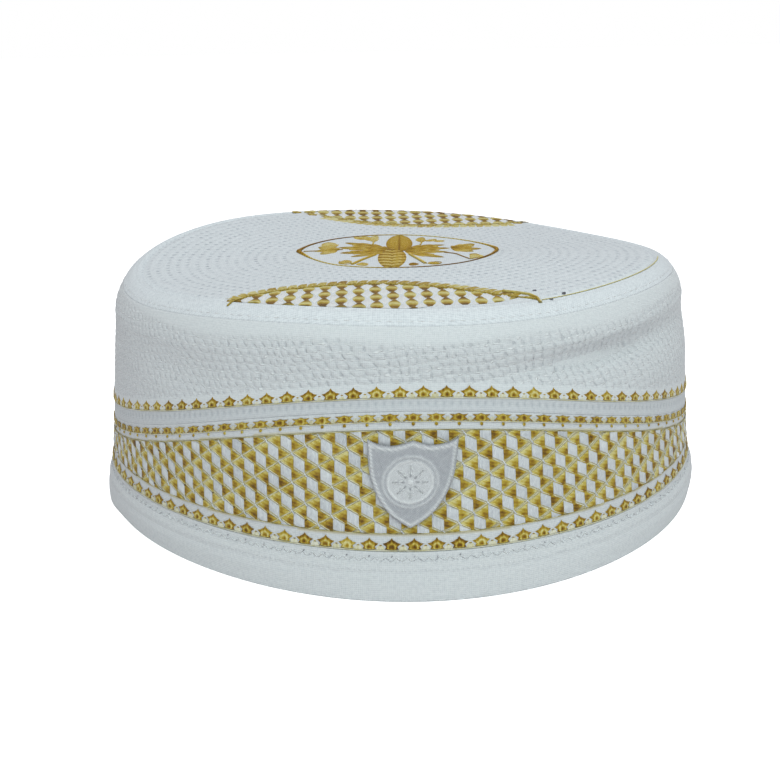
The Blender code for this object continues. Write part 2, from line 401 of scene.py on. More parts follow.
class Finish:
    """A Principled material whose colour is mixed and whose height is summed one effect at a time."""

    def __init__(self, name, colour, roughness, specular=0.3, sheen=0.0):
        self.material = bpy.data.materials.new(name)
        self.material.use_nodes = True
        self.tree = self.material.node_tree
        self.shader = self.tree.nodes["Principled BSDF"]
        for title, value in (("Roughness", roughness), ("Specular IOR Level", specular),
                             ("Sheen Weight", sheen), ("Sheen Roughness", 0.4)):
            self.shader.inputs[title].default_value = value
        self.colour = (*colour, 1.0)
        self.height = 0.0

    def group(self, tree, **values):
        """Places a node group and feeds its inputs by name."""
        node = add_node(self.tree, "Group")
        node.node_tree = tree
        for name, value in values.items():
            feed(self.tree, value, node.inputs[name])
        return node.outputs

    def place(self, uv_map):
        """Where the piece's UV map puts each point."""
        node = add_node(self.tree, "UVMap")
        node.uv_map = uv_map
        return node.outputs[0]

    def mark(self, name):
        """The piece's own mark of that name."""
        node = add_node(self.tree, "Attribute")
        node.attribute_name = name
        return node.outputs["Fac"]

    def tint(self, mask, colour, amount=1.0):
        """Mixes the colour in where the mask is one, by the amount."""
        node = add_node(self.tree, "Mix")
        node.data_type = "RGBA"
        node.clamp_factor = True
        if amount != 1.0:
            mask = maths(self.tree, "MULTIPLY", mask, amount)
        self.tree.links.new(mask, node.inputs[0])
        feed(self.tree, self.colour, node.inputs[6])
        feed(self.tree, (*colour, 1.0), node.inputs[7])
        self.colour = node.outputs[2]

    def raise_by(self, value, amount):
        """Adds to the height."""
        self.height = maths(self.tree, "MULTIPLY_ADD", value, amount, self.height)

    def done(self, depth):
        """Links colour and height; depth is the bump's reach in metres for a height of one."""
        bump = add_node(self.tree, "Bump", Strength=1.0, Distance=depth)
        wire(self.tree,
             (self.colour, self.shader.inputs["Base Color"]),
             (self.height, bump.inputs["Height"]),
             (bump.outputs["Normal"], self.shader.inputs["Normal"]))
        return self.material


def white_cotton(name, colour, pitch=WEAVE_PITCH, in_space=False):
    """White cotton: the weave gives both its fine ridges and a faint cloudiness. It follows the cloth's
    UV map, or Object coordinates in millimetres. The second result is the place of each point."""
    finish = Finish(name, colour, 0.85, 0.15, 0.15)
    if in_space:
        scale = add_node(finish.tree, "VectorMath")
        scale.operation = "SCALE"
        scale.inputs["Scale"].default_value = 1.0 / MM
        finish.tree.links.new(add_node(finish.tree, "TexCoord").outputs["Object"], scale.inputs[0])
        place = scale.outputs[0]
    else:
        place = finish.place("cloth")
    weave = finish.group(weave_group, Place=place, Pitch=pitch, Slub=0.8)
    finish.tint(maths(finish.tree, "ADD", weave["Tone"], 0.12), SHADE)
    finish.raise_by(weave["Height"], 0.5)
    return finish, place


hem_angles = np.arange(HEM_COLUMNS) * 2 * math.pi / HEM_COLUMNS
hem_rows = np.stack([wall_point(hem_angles, height, -inset) for height, inset in HEM_OUTER]
                    + [wall_point(hem_angles, height, inset - HEM_CLOTH) for height, inset in HEM_INNER])
hem_faces, hem_spots = ring_faces(len(hem_rows), HEM_COLUMNS, True)
hem_cotton, hem_place = white_cotton("plain white hem cotton", WHITE)
for line, dark in HEM_NEEDLE_LINES:
    marks = hem_cotton.group(needle_group, Place=hem_place, Pitch=1.43, Line=line, Long=0.34, Tall=0.24)
    hem_cotton.tint(marks["Mask"], SHADE, dark)
    hem_cotton.raise_by(marks["Mask"], -0.7)
hem_band = new_piece("hem_cloth", hem_rows, [hem_faces], hem_cotton.done(WEAVE_DEPTH),
                     maps={"cloth": cloth_map(hem_rows, hem_spots)})
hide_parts("hem_band")


def sew(name, parts, thread):
    """Several sets of stitches as one piece of embroidery: points end to end, and corner numbers moved
    on to match."""
    starts = np.cumsum([0] + [len(part["points"]) for part in parts])
    points, shade, lie = (np.concatenate([part[title] for part in parts])
                          for title in ("points", "shade", "lie"))
    faces = np.concatenate([part["faces"] + start for part, start in zip(parts, starts)])
    return new_piece(name, points, [faces], thread, maps={"lie": lie}, marks={"shade": shade})


def quads_of(grid):
    """Quads between the rows and columns of a grid of corner numbers."""
    return np.stack([grid[:-1, :-1], grid[:-1, 1:], grid[1:, 1:], grid[1:, :-1]], -1).reshape(-1, 4)


def halves(quads):
    """Each quad as two triangles."""
    return np.concatenate([quads[:, :3], quads[:, [0, 2, 3]]])


def motif_of(x, y, out, faces, shade, across=None, along=None):
    """One motif in millimetres: its points, how far each stands out, its triangles, its shade, and where
    each point lies across and along the thread."""
    across, along = x if across is None else across, y if along is None else along
    parts = {"x": x, "y": y, "out": out, "shade": shade + 0.0 * x, "across": across, "along": along}
    return {"faces": faces, **{title: np.ravel(part) for title, part in parts.items()}}


def in_line(spots, up=0.0):
    """Places at one height, or at one height each."""
    return np.stack([spots, 0.0 * spots + up], 1)


def embroider(motif, at, place, trim=None, uneven=0.08, seed=1):
    """Copies of one motif: its points are added to each spot, cut at a border by trim, and laid on the
    cloth by place. Copies differ a little in tone, and faces cut to nothing are left out."""
    at = np.asarray(at, float).reshape(-1, 2)
    x = at[:, None, 0] + motif["x"] * MM
    y = at[:, None, 1] + motif["y"] * MM
    out = motif["out"] * MM + 0.0 * x
    if trim:
        x, y, out = trim(x, y, out)
    points = place(x, y, out)
    corners = motif["faces"][None] + np.arange(len(at))[:, None, None] * len(motif["x"])
    corners = corners.reshape(-1, 3)
    flat = points.reshape(-1, 3)
    sides = flat[corners[:, 1:]] - flat[corners[:, :1]]
    area = np.linalg.norm(np.cross(sides[:, 0], sides[:, 1]), axis=1) / 2
    tone = np.random.default_rng(seed).normal(0.0, uneven, len(at))
    lie = np.stack([motif["across"] + LIE_SHIFT * at[:, :1] / MM, motif["along"] + 0.0 * x], -1)
    return {"points": flat, "faces": corners[area > NO_AREA], "shade": (motif["shade"] + tone[:, None]).ravel(),
            "lie": lie.reshape(-1, 2)}


def thread_bit(length, rise, radius, shade=0.8):
    """One short stitch: a four-sided prism drawn out to a point at both ends, thickest in the middle,
    lying along a line of that length and rise."""
    along = np.array([-0.5, -0.3, 0.3, 0.5])
    thick = np.array([0.0, 1.0, 1.0, 0.0]) * radius
    lean = np.array([length, rise]) / math.hypot(length, rise)
    x, y, out = [], [], []
    for turn in (0.0, 0.5, 1.0, 1.5):
        side, lift = math.cos(turn * math.pi), math.sin(turn * math.pi)
        x.append(along * length - lean[1] * thick * side)
        y.append(along * rise + lean[0] * thick * side)
        out.append(thick * (lift * 0.8 + 0.35))
    grid = np.arange(20).reshape(5, 4) % 16
    x, y, out = (np.concatenate(part) for part in (x, y, out))
    return motif_of(x, y, out, halves(quads_of(grid))[:, ::-1], shade, y, x)


def silk(name, ramp, roughness, specular, sheen=0.0, blotches=0.7, streaks=0.20):
    """Embroidery thread: colour from the shade mark through a ramp, broken by fine strands that lie
    along the stitches, which the lie map gives in millimetres."""
    finish = Finish(name, (0.5, 0.5, 0.5), roughness, specular, sheen)
    place = finish.place("lie")
    strands = finish.group(strand_group, Place=place, Pitch=0.36)
    bundles = finish.group(strand_group, Place=place, Pitch=1.05)
    blotch = maths(finish.tree, "SUBTRACT", noise(finish.tree, place, 0.8)["Fac"], 0.5)
    shade = maths(finish.tree, "MULTIPLY_ADD", strands["Height"], 0.24, finish.mark("shade"))
    shade = maths(finish.tree, "MULTIPLY_ADD", bundles["Height"], streaks, shade)
    shade = maths(finish.tree, "MULTIPLY_ADD", blotch, blotches, shade)
    colours = add_node(finish.tree, "ValToRGB")
    while len(colours.color_ramp.elements) < len(ramp):
        colours.color_ramp.elements.new(0.5)
    for element, (position, colour) in zip(colours.color_ramp.elements, ramp):
        element.position = position
        element.color = (*colour, 1.0)
    finish.tree.links.new(shade, colours.inputs["Fac"])
    finish.colour = colours.outputs["Color"]
    finish.raise_by(strands["Height"], 1.0)
    return finish.done(0.00010)


def satin_strands():
    """Strands side by side: a sine ridge across the lie of the stitches, bent and thinned by noise."""
    tree, given, made = new_group("satin strands", {"Place": None, "Pitch": 0.36}, ("Height",))
    bend = noise(tree, given["Place"], 0.9)["Fac"]
    across = maths(tree, "MULTIPLY_ADD", bend, 0.5, parts_of(tree, given["Place"])[0])
    turns = maths(tree, "DIVIDE", across, given["Pitch"])
    wave = maths(tree, "SINE", maths(tree, "MULTIPLY", turns, 2 * math.pi))
    tree.links.new(maths(tree, "MULTIPLY", wave, 0.5), made["Height"])
    return tree


strand_group = satin_strands()
white_ramp = [(0.0, (0.10, 0.09, 0.12)), (0.35, (0.50, 0.52, 0.56)), (0.6, THREAD_WHITE),
              (1.0, (0.9, 0.9, 0.9))]
white_silk = silk("white machine thread", white_ramp, 0.45, 0.4, 0.2, 0.25, 0.03)


def on_wall(run, out_by=0.0):
    """Lays stitches on the wall: x is the distance along the run, y the height, out the lift."""
    return lambda x, y, out: wall_point(angle_at(x, run), y, out + out_by)


def flat_line(height):
    """A line at one height all the way round."""
    return lambda angle: height + 0.0 * angle


hem_run = run_round(flat_line(HEM_RUN_HEIGHT))
hem_length = hem_run[-1] - hem_run[0]
on_hem = []
for row, height in enumerate(ZIGZAG_HEIGHTS):
    for half, rise in enumerate((ZIGZAG_RISE, -ZIGZAG_RISE)):
        spots = hem_length * (np.arange(ZIGZAGS) + 0.5 * half + 0.25 * row) / ZIGZAGS
        on_hem.append(embroider(thread_bit(1.5, rise, 0.11, 0.60), in_line(spots, height), on_wall(hem_run),
                                None, 0.08, 2 + half))
spots = LOWER_STARS_FROM + hem_length * np.arange(LOWER_STARS) / LOWER_STARS
on_hem.append(embroider(thread_bit(0.5, 0.3, 0.13, 0.28), in_line(spots, UNDER_STARS_HEIGHT),
                        on_wall(hem_run), seed=6))
spots = hem_length * np.arange(FOOT_STITCHES) / FOOT_STITCHES
on_hem.append(embroider(thread_bit(2.2, 0.0, 0.12, 0.58), in_line(spots, FOOT_STITCH_HEIGHT),
                        on_wall(hem_run, -FOOT_STITCH_SUNK), seed=4))
hem_stitches = sew("hem_stitches", on_hem, white_silk)

# Cuff. A band of white cotton, tall at front and back and low at the sides, sewn to the hem below and to
# the rib above. It is plain white at its edges, with a pale olive ground under the lattice; all else on
# it is machine embroidery.

CUFF_COLUMNS = 480
CUFF_INSET = 0.00015
CUFF_EDGE_INSET = 0.0005
LATTICE_FOOT = 0.0166
LATTICE_BELOW_ROW = 0.0047
GROUND_MARGIN = 0.0004
GROUND_COLOUR = (0.58, 0.51, 0.29)


def swing(mean, part, sine=0.0):
    """A line round the cap that rises at front and back and falls at the sides, the sine a tilt to one
    side."""
    return lambda angle: mean + part * np.cos(2 * angle) + sine * np.sin(angle)


rib_foot = swing(0.0386, 0.0113)
middle_row = swing(0.03839, 0.01129, 0.00043)
cuff_angles = np.arange(CUFF_COLUMNS) * 2 * math.pi / CUFF_COLUMNS
cuff_foot, cuff_top = HEM_TOP - TUCK, rib_foot(cuff_angles) + TUCK
cuff_rise = np.concatenate([[0.0, 0.012], np.linspace(0.03, 0.97, 42), [0.988, 1.0]])
cuff_section = [(share, CUFF_EDGE_INSET if share in (0.0, 1.0) else CUFF_INSET) for share in cuff_rise]
cuff_section += [(share, CLOTH) for share in (1.0, 0.66, 0.33, 0.0)]
cuff_rows = np.stack([wall_point(cuff_angles, cuff_foot + (cuff_top - cuff_foot) * share, -inset)
                      for share, inset in cuff_section])
cuff_faces, cuff_spots = ring_faces(len(cuff_rows), CUFF_COLUMNS, True)
lattice_ground = ((cuff_rows[..., 2] > LATTICE_FOOT - GROUND_MARGIN)
                  & (cuff_rows[..., 2] < middle_row(cuff_angles) - LATTICE_BELOW_ROW + GROUND_MARGIN)) * 1.0
lattice_ground[len(cuff_rise):] = 0.0
cuff_cotton, _ = white_cotton("white cuff cotton", WHITE)
cuff_cotton.tint(cuff_cotton.mark("ground"), GROUND_COLOUR, 0.85)
cuff_cloth = new_piece("cuff_cloth", cuff_rows, [cuff_faces], cuff_cotton.done(WEAVE_DEPTH),
                       maps={"cloth": cloth_map(cuff_rows, cuff_spots)}, marks={"ground": lattice_ground})
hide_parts("cuff_panel")

# Lattice of the cuff. Leaning white satin lozenges stand in a slanting lattice, and two gold satin wedges
# point away from each, one right and one left. A cream thread runs between the wedges. The lattice is
# drawn flat and slightly bent, and is cut off at a thin gold line above and below.

LATTICE_ORIGIN = np.array([0.0217, 0.03508])
LATTICE_STEP = np.array([0.0040, 0.002514])
LATTICE_UP = np.array([0.00052, 0.008205])
LATTICE_BEND = 0.680
LATTICE_HEIGHT = 0.030
LATTICE_REACH = 0.0035
CREAM_BAR_AT = (-0.00195, 0.00285)
UPPER_EDGE_AT = (0.0, 0.00205)
LOWER_EDGE_AT = (0.0, -0.00215)
# Where a dark spot of painted shadow sits in the needle hole at a lozenge's lower left corner, and at how many
# lozenges.
NEEDLE_SHADOW_AT = (-0.0018, -0.0020)
NEEDLE_SHADOW_SHARE = 0.35
WHITE_TIE_AT = (0.0019, -0.0030)

gold_ramp = [(0.0, (0.14, 0.072, 0.008)), (0.2, (0.29, 0.155, 0.012)), (0.45, (0.43, 0.280, 0.024)),
             (0.7, (0.56, 0.430, 0.068)), (1.0, (0.72, 0.65, 0.29))]
gold_silk = silk("old-gold silk", gold_ramp, 0.45, 0.22, 0.05)
cream_ramp = [(0.0, (0.22, 0.16, 0.05)), (0.3, (0.50, 0.44, 0.17)), (0.6, (0.68, 0.63, 0.36)),
              (1.0, (0.80, 0.78, 0.64))]
cream_silk = silk("cream silk", cream_ramp, 0.5, 0.22, 0.1)


def unbend(across, up):
    """Point of the flat lattice laid on the cloth: the flat plane is rolled round a far centre above it,
    so that the slant of the lattice turns slowly as it goes round."""
    far = LATTICE_BEND + LATTICE_HEIGHT
    radius = np.hypot(across, far - up)
    return LATTICE_BEND * np.arctan2(across, far - up), LATTICE_HEIGHT + LATTICE_BEND - radius


def wedge(corners, lift, core, reach, shades, across):
    """Domed satin triangle: fifteen points on a triangular grid, lifted by the product of their
    distances to the three sides. Its shade goes from one value at the core to another at the reach."""
    share = np.array([(a, b, 4 - a - b) for a in range(5) for b in range(5 - a)]) / 4.0
    spot = {tuple(np.round(4 * s).astype(int)): i for i, s in enumerate(share)}
    faces = []
    for a, b, c in spot:
        if a:
            faces.append([spot[a, b, c], spot[a - 1, b + 1, c], spot[a - 1, b, c + 1]])
        if a and b:
            faces.append([spot[a, b, c], spot[a - 1, b, c + 1], spot[a, b - 1, c + 1]])
    faces = np.array(faces)
    spots = share @ np.array(corners)
    x, y = spots.T
    dome = (27 * share.prod(axis=1))**0.5
    edge = np.sort(share, axis=1)[:, 1]
    off_core = np.clip(np.hypot(x - core[0], y - core[1]) / reach, 0.0, 1.0)
    first, second, third = spots[faces[0]]
    if np.cross(second - first, third - first) < 0:
        faces = faces[:, ::-1]
    return motif_of(x, y, -0.05 + lift * (0.75 * dome + 0.5 * edge), faces,
                    shades[0] + (shades[1] - shades[0]) * off_core,
                    x * across[0] + y * across[1], y * across[0] - x * across[1])


def lozenge(corners, lift, shade, steps=3):
    """Domed satin pad between four corners: a grid that blends the corners in pairs, lifted by a
    flattened dome that is nought on all four sides."""
    s, t = (part.ravel() for part in np.meshgrid(np.linspace(0, 1, steps + 1), np.linspace(0, 1, steps + 1)))
    low_left, low_right, high_right, high_left = (np.array(corner) for corner in corners)
    spots = (low_left * ((1 - s) * (1 - t))[:, None] + low_right * (s * (1 - t))[:, None]
             + high_right * (s * t)[:, None] + high_left * ((1 - s) * t)[:, None])
    grid = np.arange((steps + 1)**2).reshape(steps + 1, steps + 1)
    dome = (16 * s * (1 - s) * t * (1 - t))**0.3
    return motif_of(*spots.T, -0.02 + lift * dome, halves(quads_of(grid)), shade)


def trim_lattice(x, y, out):
    """Cuts at the border: a point past the upper or lower line is set back on it and lowered."""
    top = middle_row(angle_at(x, cuff_run)) - LATTICE_BELOW_ROW
    cut = np.clip(y, LATTICE_FOOT, top)
    return x, cut, np.where(cut == y, out, 0.03 * MM)


def cell_spots():
    """Centres of the lozenges on one half of the cap, numbered over a broad field and kept where they
    touch the cuff. The other half is the same again, turned half way round."""
    i, j = (part.ravel() for part in np.meshgrid(np.arange(-60, 60), np.arange(-40, 40)))
    flat = LATTICE_ORIGIN + i[:, None] * LATTICE_STEP + j[:, None] * LATTICE_UP
    across, up = unbend(flat[:, 0], flat[:, 1])
    top = middle_row(angle_at(across, cuff_run)) - LATTICE_BELOW_ROW
    near = ((np.abs(across) < cuff_half / 2) & (up > LATTICE_FOOT - LATTICE_REACH)
            & (up < top + LATTICE_REACH))
    front = np.stack([across[near], up[near]], axis=1)
    return front, front + (cuff_half, 0.0)


cuff_run = run_round(flat_line(LATTICE_HEIGHT))
cuff_half = (cuff_run[-1] - cuff_run[0]) / 2
white_pad = lozenge([(-1.52, -0.85), (1.60, -2.55), (1.60, 0.75), (-1.52, 2.45)], 0.34, 0.50)
right_wedge = wedge([(1.66, 1.25), (1.66, -2.15), (5.0, -0.38)], 0.34,
                    (2.35, -0.55), 1.85, (-0.02, 0.82), (0.2, 1.0))
left_wedge = wedge([(-1.60, 2.45), (-5.8, 0.30), (-1.60, -1.80)], 0.34,
                   (-2.2, -0.25), 2.1, (-0.02, 0.94), (0.35, 0.95))
cream_bar = thread_bit(7.0, 4.7, 0.13, 0.76)
edge_bar = thread_bit(3.3, -1.75, 0.14, 0.85)
white_tie = thread_bit(1.0, -1.3, 0.24, 0.50)
# A dark gold bit that is painted shadow: it stands where a needle hole leaves only shade.
needle_shadow_spot = thread_bit(0.55, 0.1, 0.24, -0.25)

lattice_gold, lattice_cream, lattice_white = [], [], []
for half, spots in enumerate(cell_spots()):
    some = np.random.default_rng(41 + half).random(len(spots)) < NEEDLE_SHADOW_SHARE
    for stitches, motif, at, uneven, seed in (
            # the list that the stitches go to, the motif, its places, how uneven in tone, and the seed
            (lattice_gold, right_wedge, spots, 0.12, 11 + half),
            (lattice_gold, left_wedge, spots, 0.12, 21 + half),
            (lattice_cream, cream_bar, spots + CREAM_BAR_AT, 0.06, 31 + half),
            (lattice_cream, edge_bar, spots + UPPER_EDGE_AT, 0.06, 33 + half),
            (lattice_cream, edge_bar, spots + LOWER_EDGE_AT, 0.06, 35 + half),
            (lattice_gold, needle_shadow_spot, spots[some] + NEEDLE_SHADOW_AT, 0.05, 51),
            (lattice_white, white_pad, spots, 0.03, 61 + half),
            (lattice_white, white_tie, spots + WHITE_TIE_AT, 0.03, 71 + half)):
        stitches.append(embroider(motif, at, on_wall(cuff_run), trim_lattice, uneven, seed))
on_cuff = [sew("lattice_gold", lattice_gold, gold_silk),
           sew("lattice_cream", lattice_cream, cream_silk),
           sew("lattice_white", lattice_white, white_silk)]

# Star rows of the cuff. Each row is a chain of small satin stars on a thin ground thread: a dark eye, a
# bright ring round it, and duller gold wings and points. The lower row points up. The upper row hangs
# from the rib, and below each of its stars is a bead with a dark edge.

STAR_EDGE = [
    # across and up from the eye, from the right end of the foot round to the left
    (1.10, -0.64), (1.85, -0.52), (1.45, 0.06), (2.50, 0.86), (1.50, 1.12), (1.05, 1.44), (0.44, 1.76),
    (0.0, 2.40), (-0.44, 1.76), (-1.05, 1.44), (-1.50, 1.12), (-2.50, 0.86), (-1.45, 0.06),
    (-1.85, -0.52), (-1.10, -0.64), (0.0, -0.68),
]
DROP_STAR_EDGE = [
    # across and up, from the upper right round to the left
    (1.1, 0.80), (0.0, 1.15), (-1.1, 0.80), (-2.55, 0.90), (-1.55, 0.22), (-2.35, -0.42), (-1.35, -0.78),
    (-0.60, -1.05), (0.60, -1.05), (1.35, -0.78), (2.35, -0.42), (1.55, 0.22), (2.55, 0.90),
]
LOWER_ROW_HEIGHT = 0.01217
LOWER_STARS_EYE = 0.00083
UPPER_STARS = 96
UPPER_STARS_FROM = 0.00301
DROP_STAR_DOWN = 0.0014
BEAD_DOWN = 0.0031
WING_SPOT_AT = (0.0023, -0.0021)
ROW_THREAD_DOWN = 0.0024
FOOT_THREAD_DOWN = 0.00085
THREAD_RADIUS = 0.00016
BORDER_THREAD = (0.00015, 0.30)


def star(edge, eye, arch, shades, lifts):
    """One star: rings drawn round an eye. The inner two are circles kept inside the edge, the third lies
    half way out to the edge, the last is the edge itself; each ring has its own shade and lift."""
    edge = np.array(edge)
    reach = edge - eye
    length = np.hypot(reach[:, 0], reach[:, 1])
    rings = [np.array([eye])]
    for radius in arch:
        rings.append(eye + reach * (np.minimum(radius, 0.75 * length * radius / arch[1]) / length)[:, None])
    rings += [0.45 * rings[-1] + 0.55 * edge, edge]
    spots = np.concatenate(rings)
    grid = 1 + np.arange(4 * len(edge)).reshape(4, -1)
    grid = np.concatenate([grid, grid[:, :1]], axis=1)
    fan = np.stack([0 * grid[0, :-1], grid[0, :-1], grid[0, 1:]], 1)
    faces = np.concatenate([fan, halves(quads_of(grid))[:, ::-1]])
    ring_number = np.concatenate([[0], np.repeat([1, 2, 3, 4], len(edge))])
    return motif_of(*spots.T, np.array(lifts)[ring_number], faces, np.array(shades)[ring_number])


def row_of(line, count, start):
    """Places along a line round the cap: count of them at one pitch from start, with a way to lay
    stitches whose heights are measured from the line."""
    run = run_round(line)
    length = run[-1] - run[0]
    spots = start + length * np.arange(count) / count

    def lay(x, y, out):
        angle = angle_at(x, run)
        return wall_point(angle, line(angle) + y, out)

    return in_line(spots), lay, length


def cord_on(path, radius, place, closed, shade=0.5, twist=0.0, sides=6):
    """A thread laid on cloth: a ring of points round each point of the path, half sunk, with the shade
    turning round the thread where it is twisted."""
    path = np.asarray(path, float)
    ahead = np.roll(path, -1, axis=0) - np.roll(path, 1, axis=0)
    if not closed:
        ahead[0], ahead[-1] = path[1] - path[0], path[-1] - path[-2]
    ahead /= np.linalg.norm(ahead, axis=1)[:, None]
    turn = np.arange(sides) * 2 * math.pi / sides
    radius = np.broadcast_to(np.asarray(radius, float), (len(path),))[:, None]
    x = path[:, :1] - ahead[:, 1:] * radius * np.cos(turn)
    y = path[:, 1:] + ahead[:, :1] * radius * np.cos(turn)
    points = place(x, y, radius * (np.sin(turn) * 0.85 + 0.3))
    grid = np.arange(points.shape[0] * sides).reshape(-1, sides)
    if closed:
        grid = np.concatenate([grid, grid[:1]])
    faces = [halves(quads_of(np.concatenate([grid, grid[:, :1]], axis=1)))]
    if not closed:
        for ring, order in ((grid[0], (0, 1, 2)), (grid[-1], (0, 2, 1))):
            fan = np.stack([np.full(sides - 2, ring[0]), ring[1:-1], ring[2:]], 1)
            faces.append(fan[:, list(order)])
    steps = gone_along(path)[:, None] / MM
    tone = shade + (0.25 * np.sin(2 * math.pi * steps / twist + turn) if twist else 0.0) + 0.0 * steps * turn
    lie = np.stack([np.sin(turn) + 0.0 * steps, steps + 0.0 * turn], -1)
    return {"points": points.reshape(-1, 3), "faces": np.concatenate(faces), "shade": tone.ravel(),
            "lie": lie.reshape(-1, 2)}


def round_thread(length, place, up, radius, shade, steps=600, twist=1.1):
    """A thread right round the cap, at one height above its line."""
    return cord_on(in_line(length * np.arange(steps) / steps, up), radius, place, True, shade, twist)


def circle(radius, count):
    """Points on a circle about nought, from the right round by the top."""
    turns = np.arange(count) * 2 * math.pi / count
    return [(radius * math.cos(turn), radius * math.sin(turn)) for turn in turns]


up_star = star(STAR_EDGE, (0.0, 0.0), (0.42, 0.98), (0.0, 0.20, 0.94, 0.28, 0.36),
               (0.16, 0.24, 0.30, 0.18, 0.00))
foot_spot = thread_bit(0.75, 0.0, 0.14, 0.40)
pale_pad = lozenge([(-1.3, -0.85), (1.3, -0.85), (0.7, 0.20), (-0.7, 0.20)], 0.04, 0.84)


def star_row(line, count, start, eye, seed):
    """A row of stars that point up: each eye stands a little over the line, and between two stars lie a
    pale pad and a needle mark, with a cream thread along the foot."""
    spots, lay, length = row_of(line, count, start)
    between = spots + (0.5 * length / count, eye)
    gold = [embroider(foot_spot, between + (0.0, 0.0004), lay, None, 0.04, seed + 1),
            embroider(up_star, spots + (0.0, eye), lay, None, 0.10, seed + 3)]
    cream = [embroider(pale_pad, between, lay, None, 0.08, seed),
             round_thread(length, lay, eye - FOOT_THREAD_DOWN, THREAD_RADIUS, 0.75, twist=0.9)]
    return gold, cream


star_gold, star_cream = star_row(flat_line(LOWER_ROW_HEIGHT), LOWER_STARS, LOWER_STARS_FROM,
                                 LOWER_STARS_EYE, 81)

drop_star = star(DROP_STAR_EDGE, (0.0, 0.1), (0.45, 0.95), (0.0, 0.12, 0.72, 0.40, 0.40),
                 (0.20, 0.24, 0.28, 0.18, 0.04))
bead = star(circle(0.5, 7), (0.0, 0.0), (0.15, 0.32), (0.35, 0.40, 0.50, 0.65, 0.80),
            (0.26, 0.24, 0.18, 0.10, -0.05))
row_spots, row_lay, row_length = row_of(middle_row, UPPER_STARS, UPPER_STARS_FROM)
between = row_spots + (0.5 * row_length / UPPER_STARS, -DROP_STAR_DOWN)
wing_across, wing_up = WING_SPOT_AT
star_gold += [embroider(drop_star, row_spots - (0.0, DROP_STAR_DOWN), row_lay, None, 0.10, 91),
              embroider(bead, row_spots - (0.0, BEAD_DOWN), row_lay, None, 0.08, 92),
              embroider(foot_spot, row_spots + (wing_across, wing_up), row_lay, None, 0.08, 93),
              embroider(foot_spot, row_spots + (-wing_across, wing_up), row_lay, None, 0.08, 94)]
star_cream += [embroider(dict(pale_pad, x=0.6 * pale_pad["x"]), between, row_lay, None, 0.08, 90),
               round_thread(row_length, row_lay, -ROW_THREAD_DOWN, THREAD_RADIUS, 0.75, twist=0.9),
               round_thread(row_length, row_lay, -LATTICE_BELOW_ROW, *BORDER_THREAD)]
_, row_lay, row_length = row_of(flat_line(LATTICE_FOOT), UPPER_STARS, 0.0)
star_cream.append(round_thread(row_length, row_lay, 0.0, *BORDER_THREAD))
on_cuff += [sew("cuff_stars_gold", star_gold, gold_silk),
            sew("cuff_stars_cream", star_cream, cream_silk)]

# Badge. A shield of pale satin, stitched over the front of the cuff. Its edge is a raised satin cord, and
# inside it are a ring of two cords and a plain eight-petalled rosette, all in white thread.

BADGE_ACROSS = 0.0022
BADGE_HEIGHT = 0.03085
BADGE_SCALE = (0.984, 1.005)
BADGE_TURN = 0.0435
BADGE_COLUMNS = 111
BADGE_ROWS = 71
BADGE_CLOTH = 0.0008
BADGE_EDGE = {
    "across": [0.0, 0.0026, 0.0054, 0.0074, 0.0089, 0.0100, 0.0108, 0.0113, 0.0116],
    "top":    [0.0116, 0.0107, 0.0102, 0.0104, 0.0107, 0.0111, 0.0115, 0.0118, 0.0121],
    "bottom": [-0.0120, -0.0104, -0.0081, -0.0055, -0.0027, 0.0002, 0.0034, 0.0072, 0.0115],
}
RING_AT = (-0.0004, 0.0007)
RING_RADII = (0.0069, 0.0058)
STITCH_PITCH = 0.0017
PETALS = 8
badge_face = BADGE_CLOTH + 2 * GAP


def lay_badge(x, y, out):
    """Lays stitches on the badge: x and y from its middle, out from its face. It is sewn on a little
    narrower and higher than its cut shape, and turned a little."""
    angle = (BADGE_ACROSS + BADGE_SCALE[0] * x + BADGE_TURN * y) / HALF_DEPTH
    return wall_point(angle, BADGE_HEIGHT + BADGE_SCALE[1] * y, badge_face + out)


def badge_edge(across, side):
    """Upper or lower edge of the shield, the same to right and left."""
    return glide(np.abs(across), BADGE_EDGE["across"], BADGE_EDGE[side])


half_badge = BADGE_EDGE["across"][-1]
column = np.linspace(-1.0, 1.0, BADGE_COLUMNS)
column = half_badge * np.sign(column) * (1.0 - (1.0 - np.abs(column))**1.5)
share = np.linspace(0.0, 1.0, BADGE_ROWS)[:, None]
low, high = badge_edge(column, "bottom"), badge_edge(column, "top")
badge_y = low + (high - low) * share
badge_x = column + 0.0 * badge_y
fine = half_badge * np.linspace(-1.0, 1.0, 4001)
outline_x = np.concatenate([fine, fine[::-1]])
outline_y = np.concatenate([badge_edge(fine, "top"), badge_edge(fine, "bottom")[::-1]])
gone = gone_along(np.stack([outline_x, outline_y], 1))
even = np.linspace(0.0, gone[-1], 900)
outline_x, outline_y = np.interp(even, gone, outline_x), np.interp(even, gone, outline_y)
near = np.hypot(badge_x.ravel()[:, None] - outline_x, badge_y.ravel()[:, None] - outline_y)
edge_far = np.minimum(near.min(axis=1).reshape(badge_y.shape), half_badge - np.abs(badge_x) + 0.0003)
ring_far = np.hypot(badge_x - RING_AT[0], badge_y - RING_AT[1])


def bump_at(value, middle, width):
    """A smooth hump of height one about the middle."""
    return np.exp(-((value - middle) / width)**2)


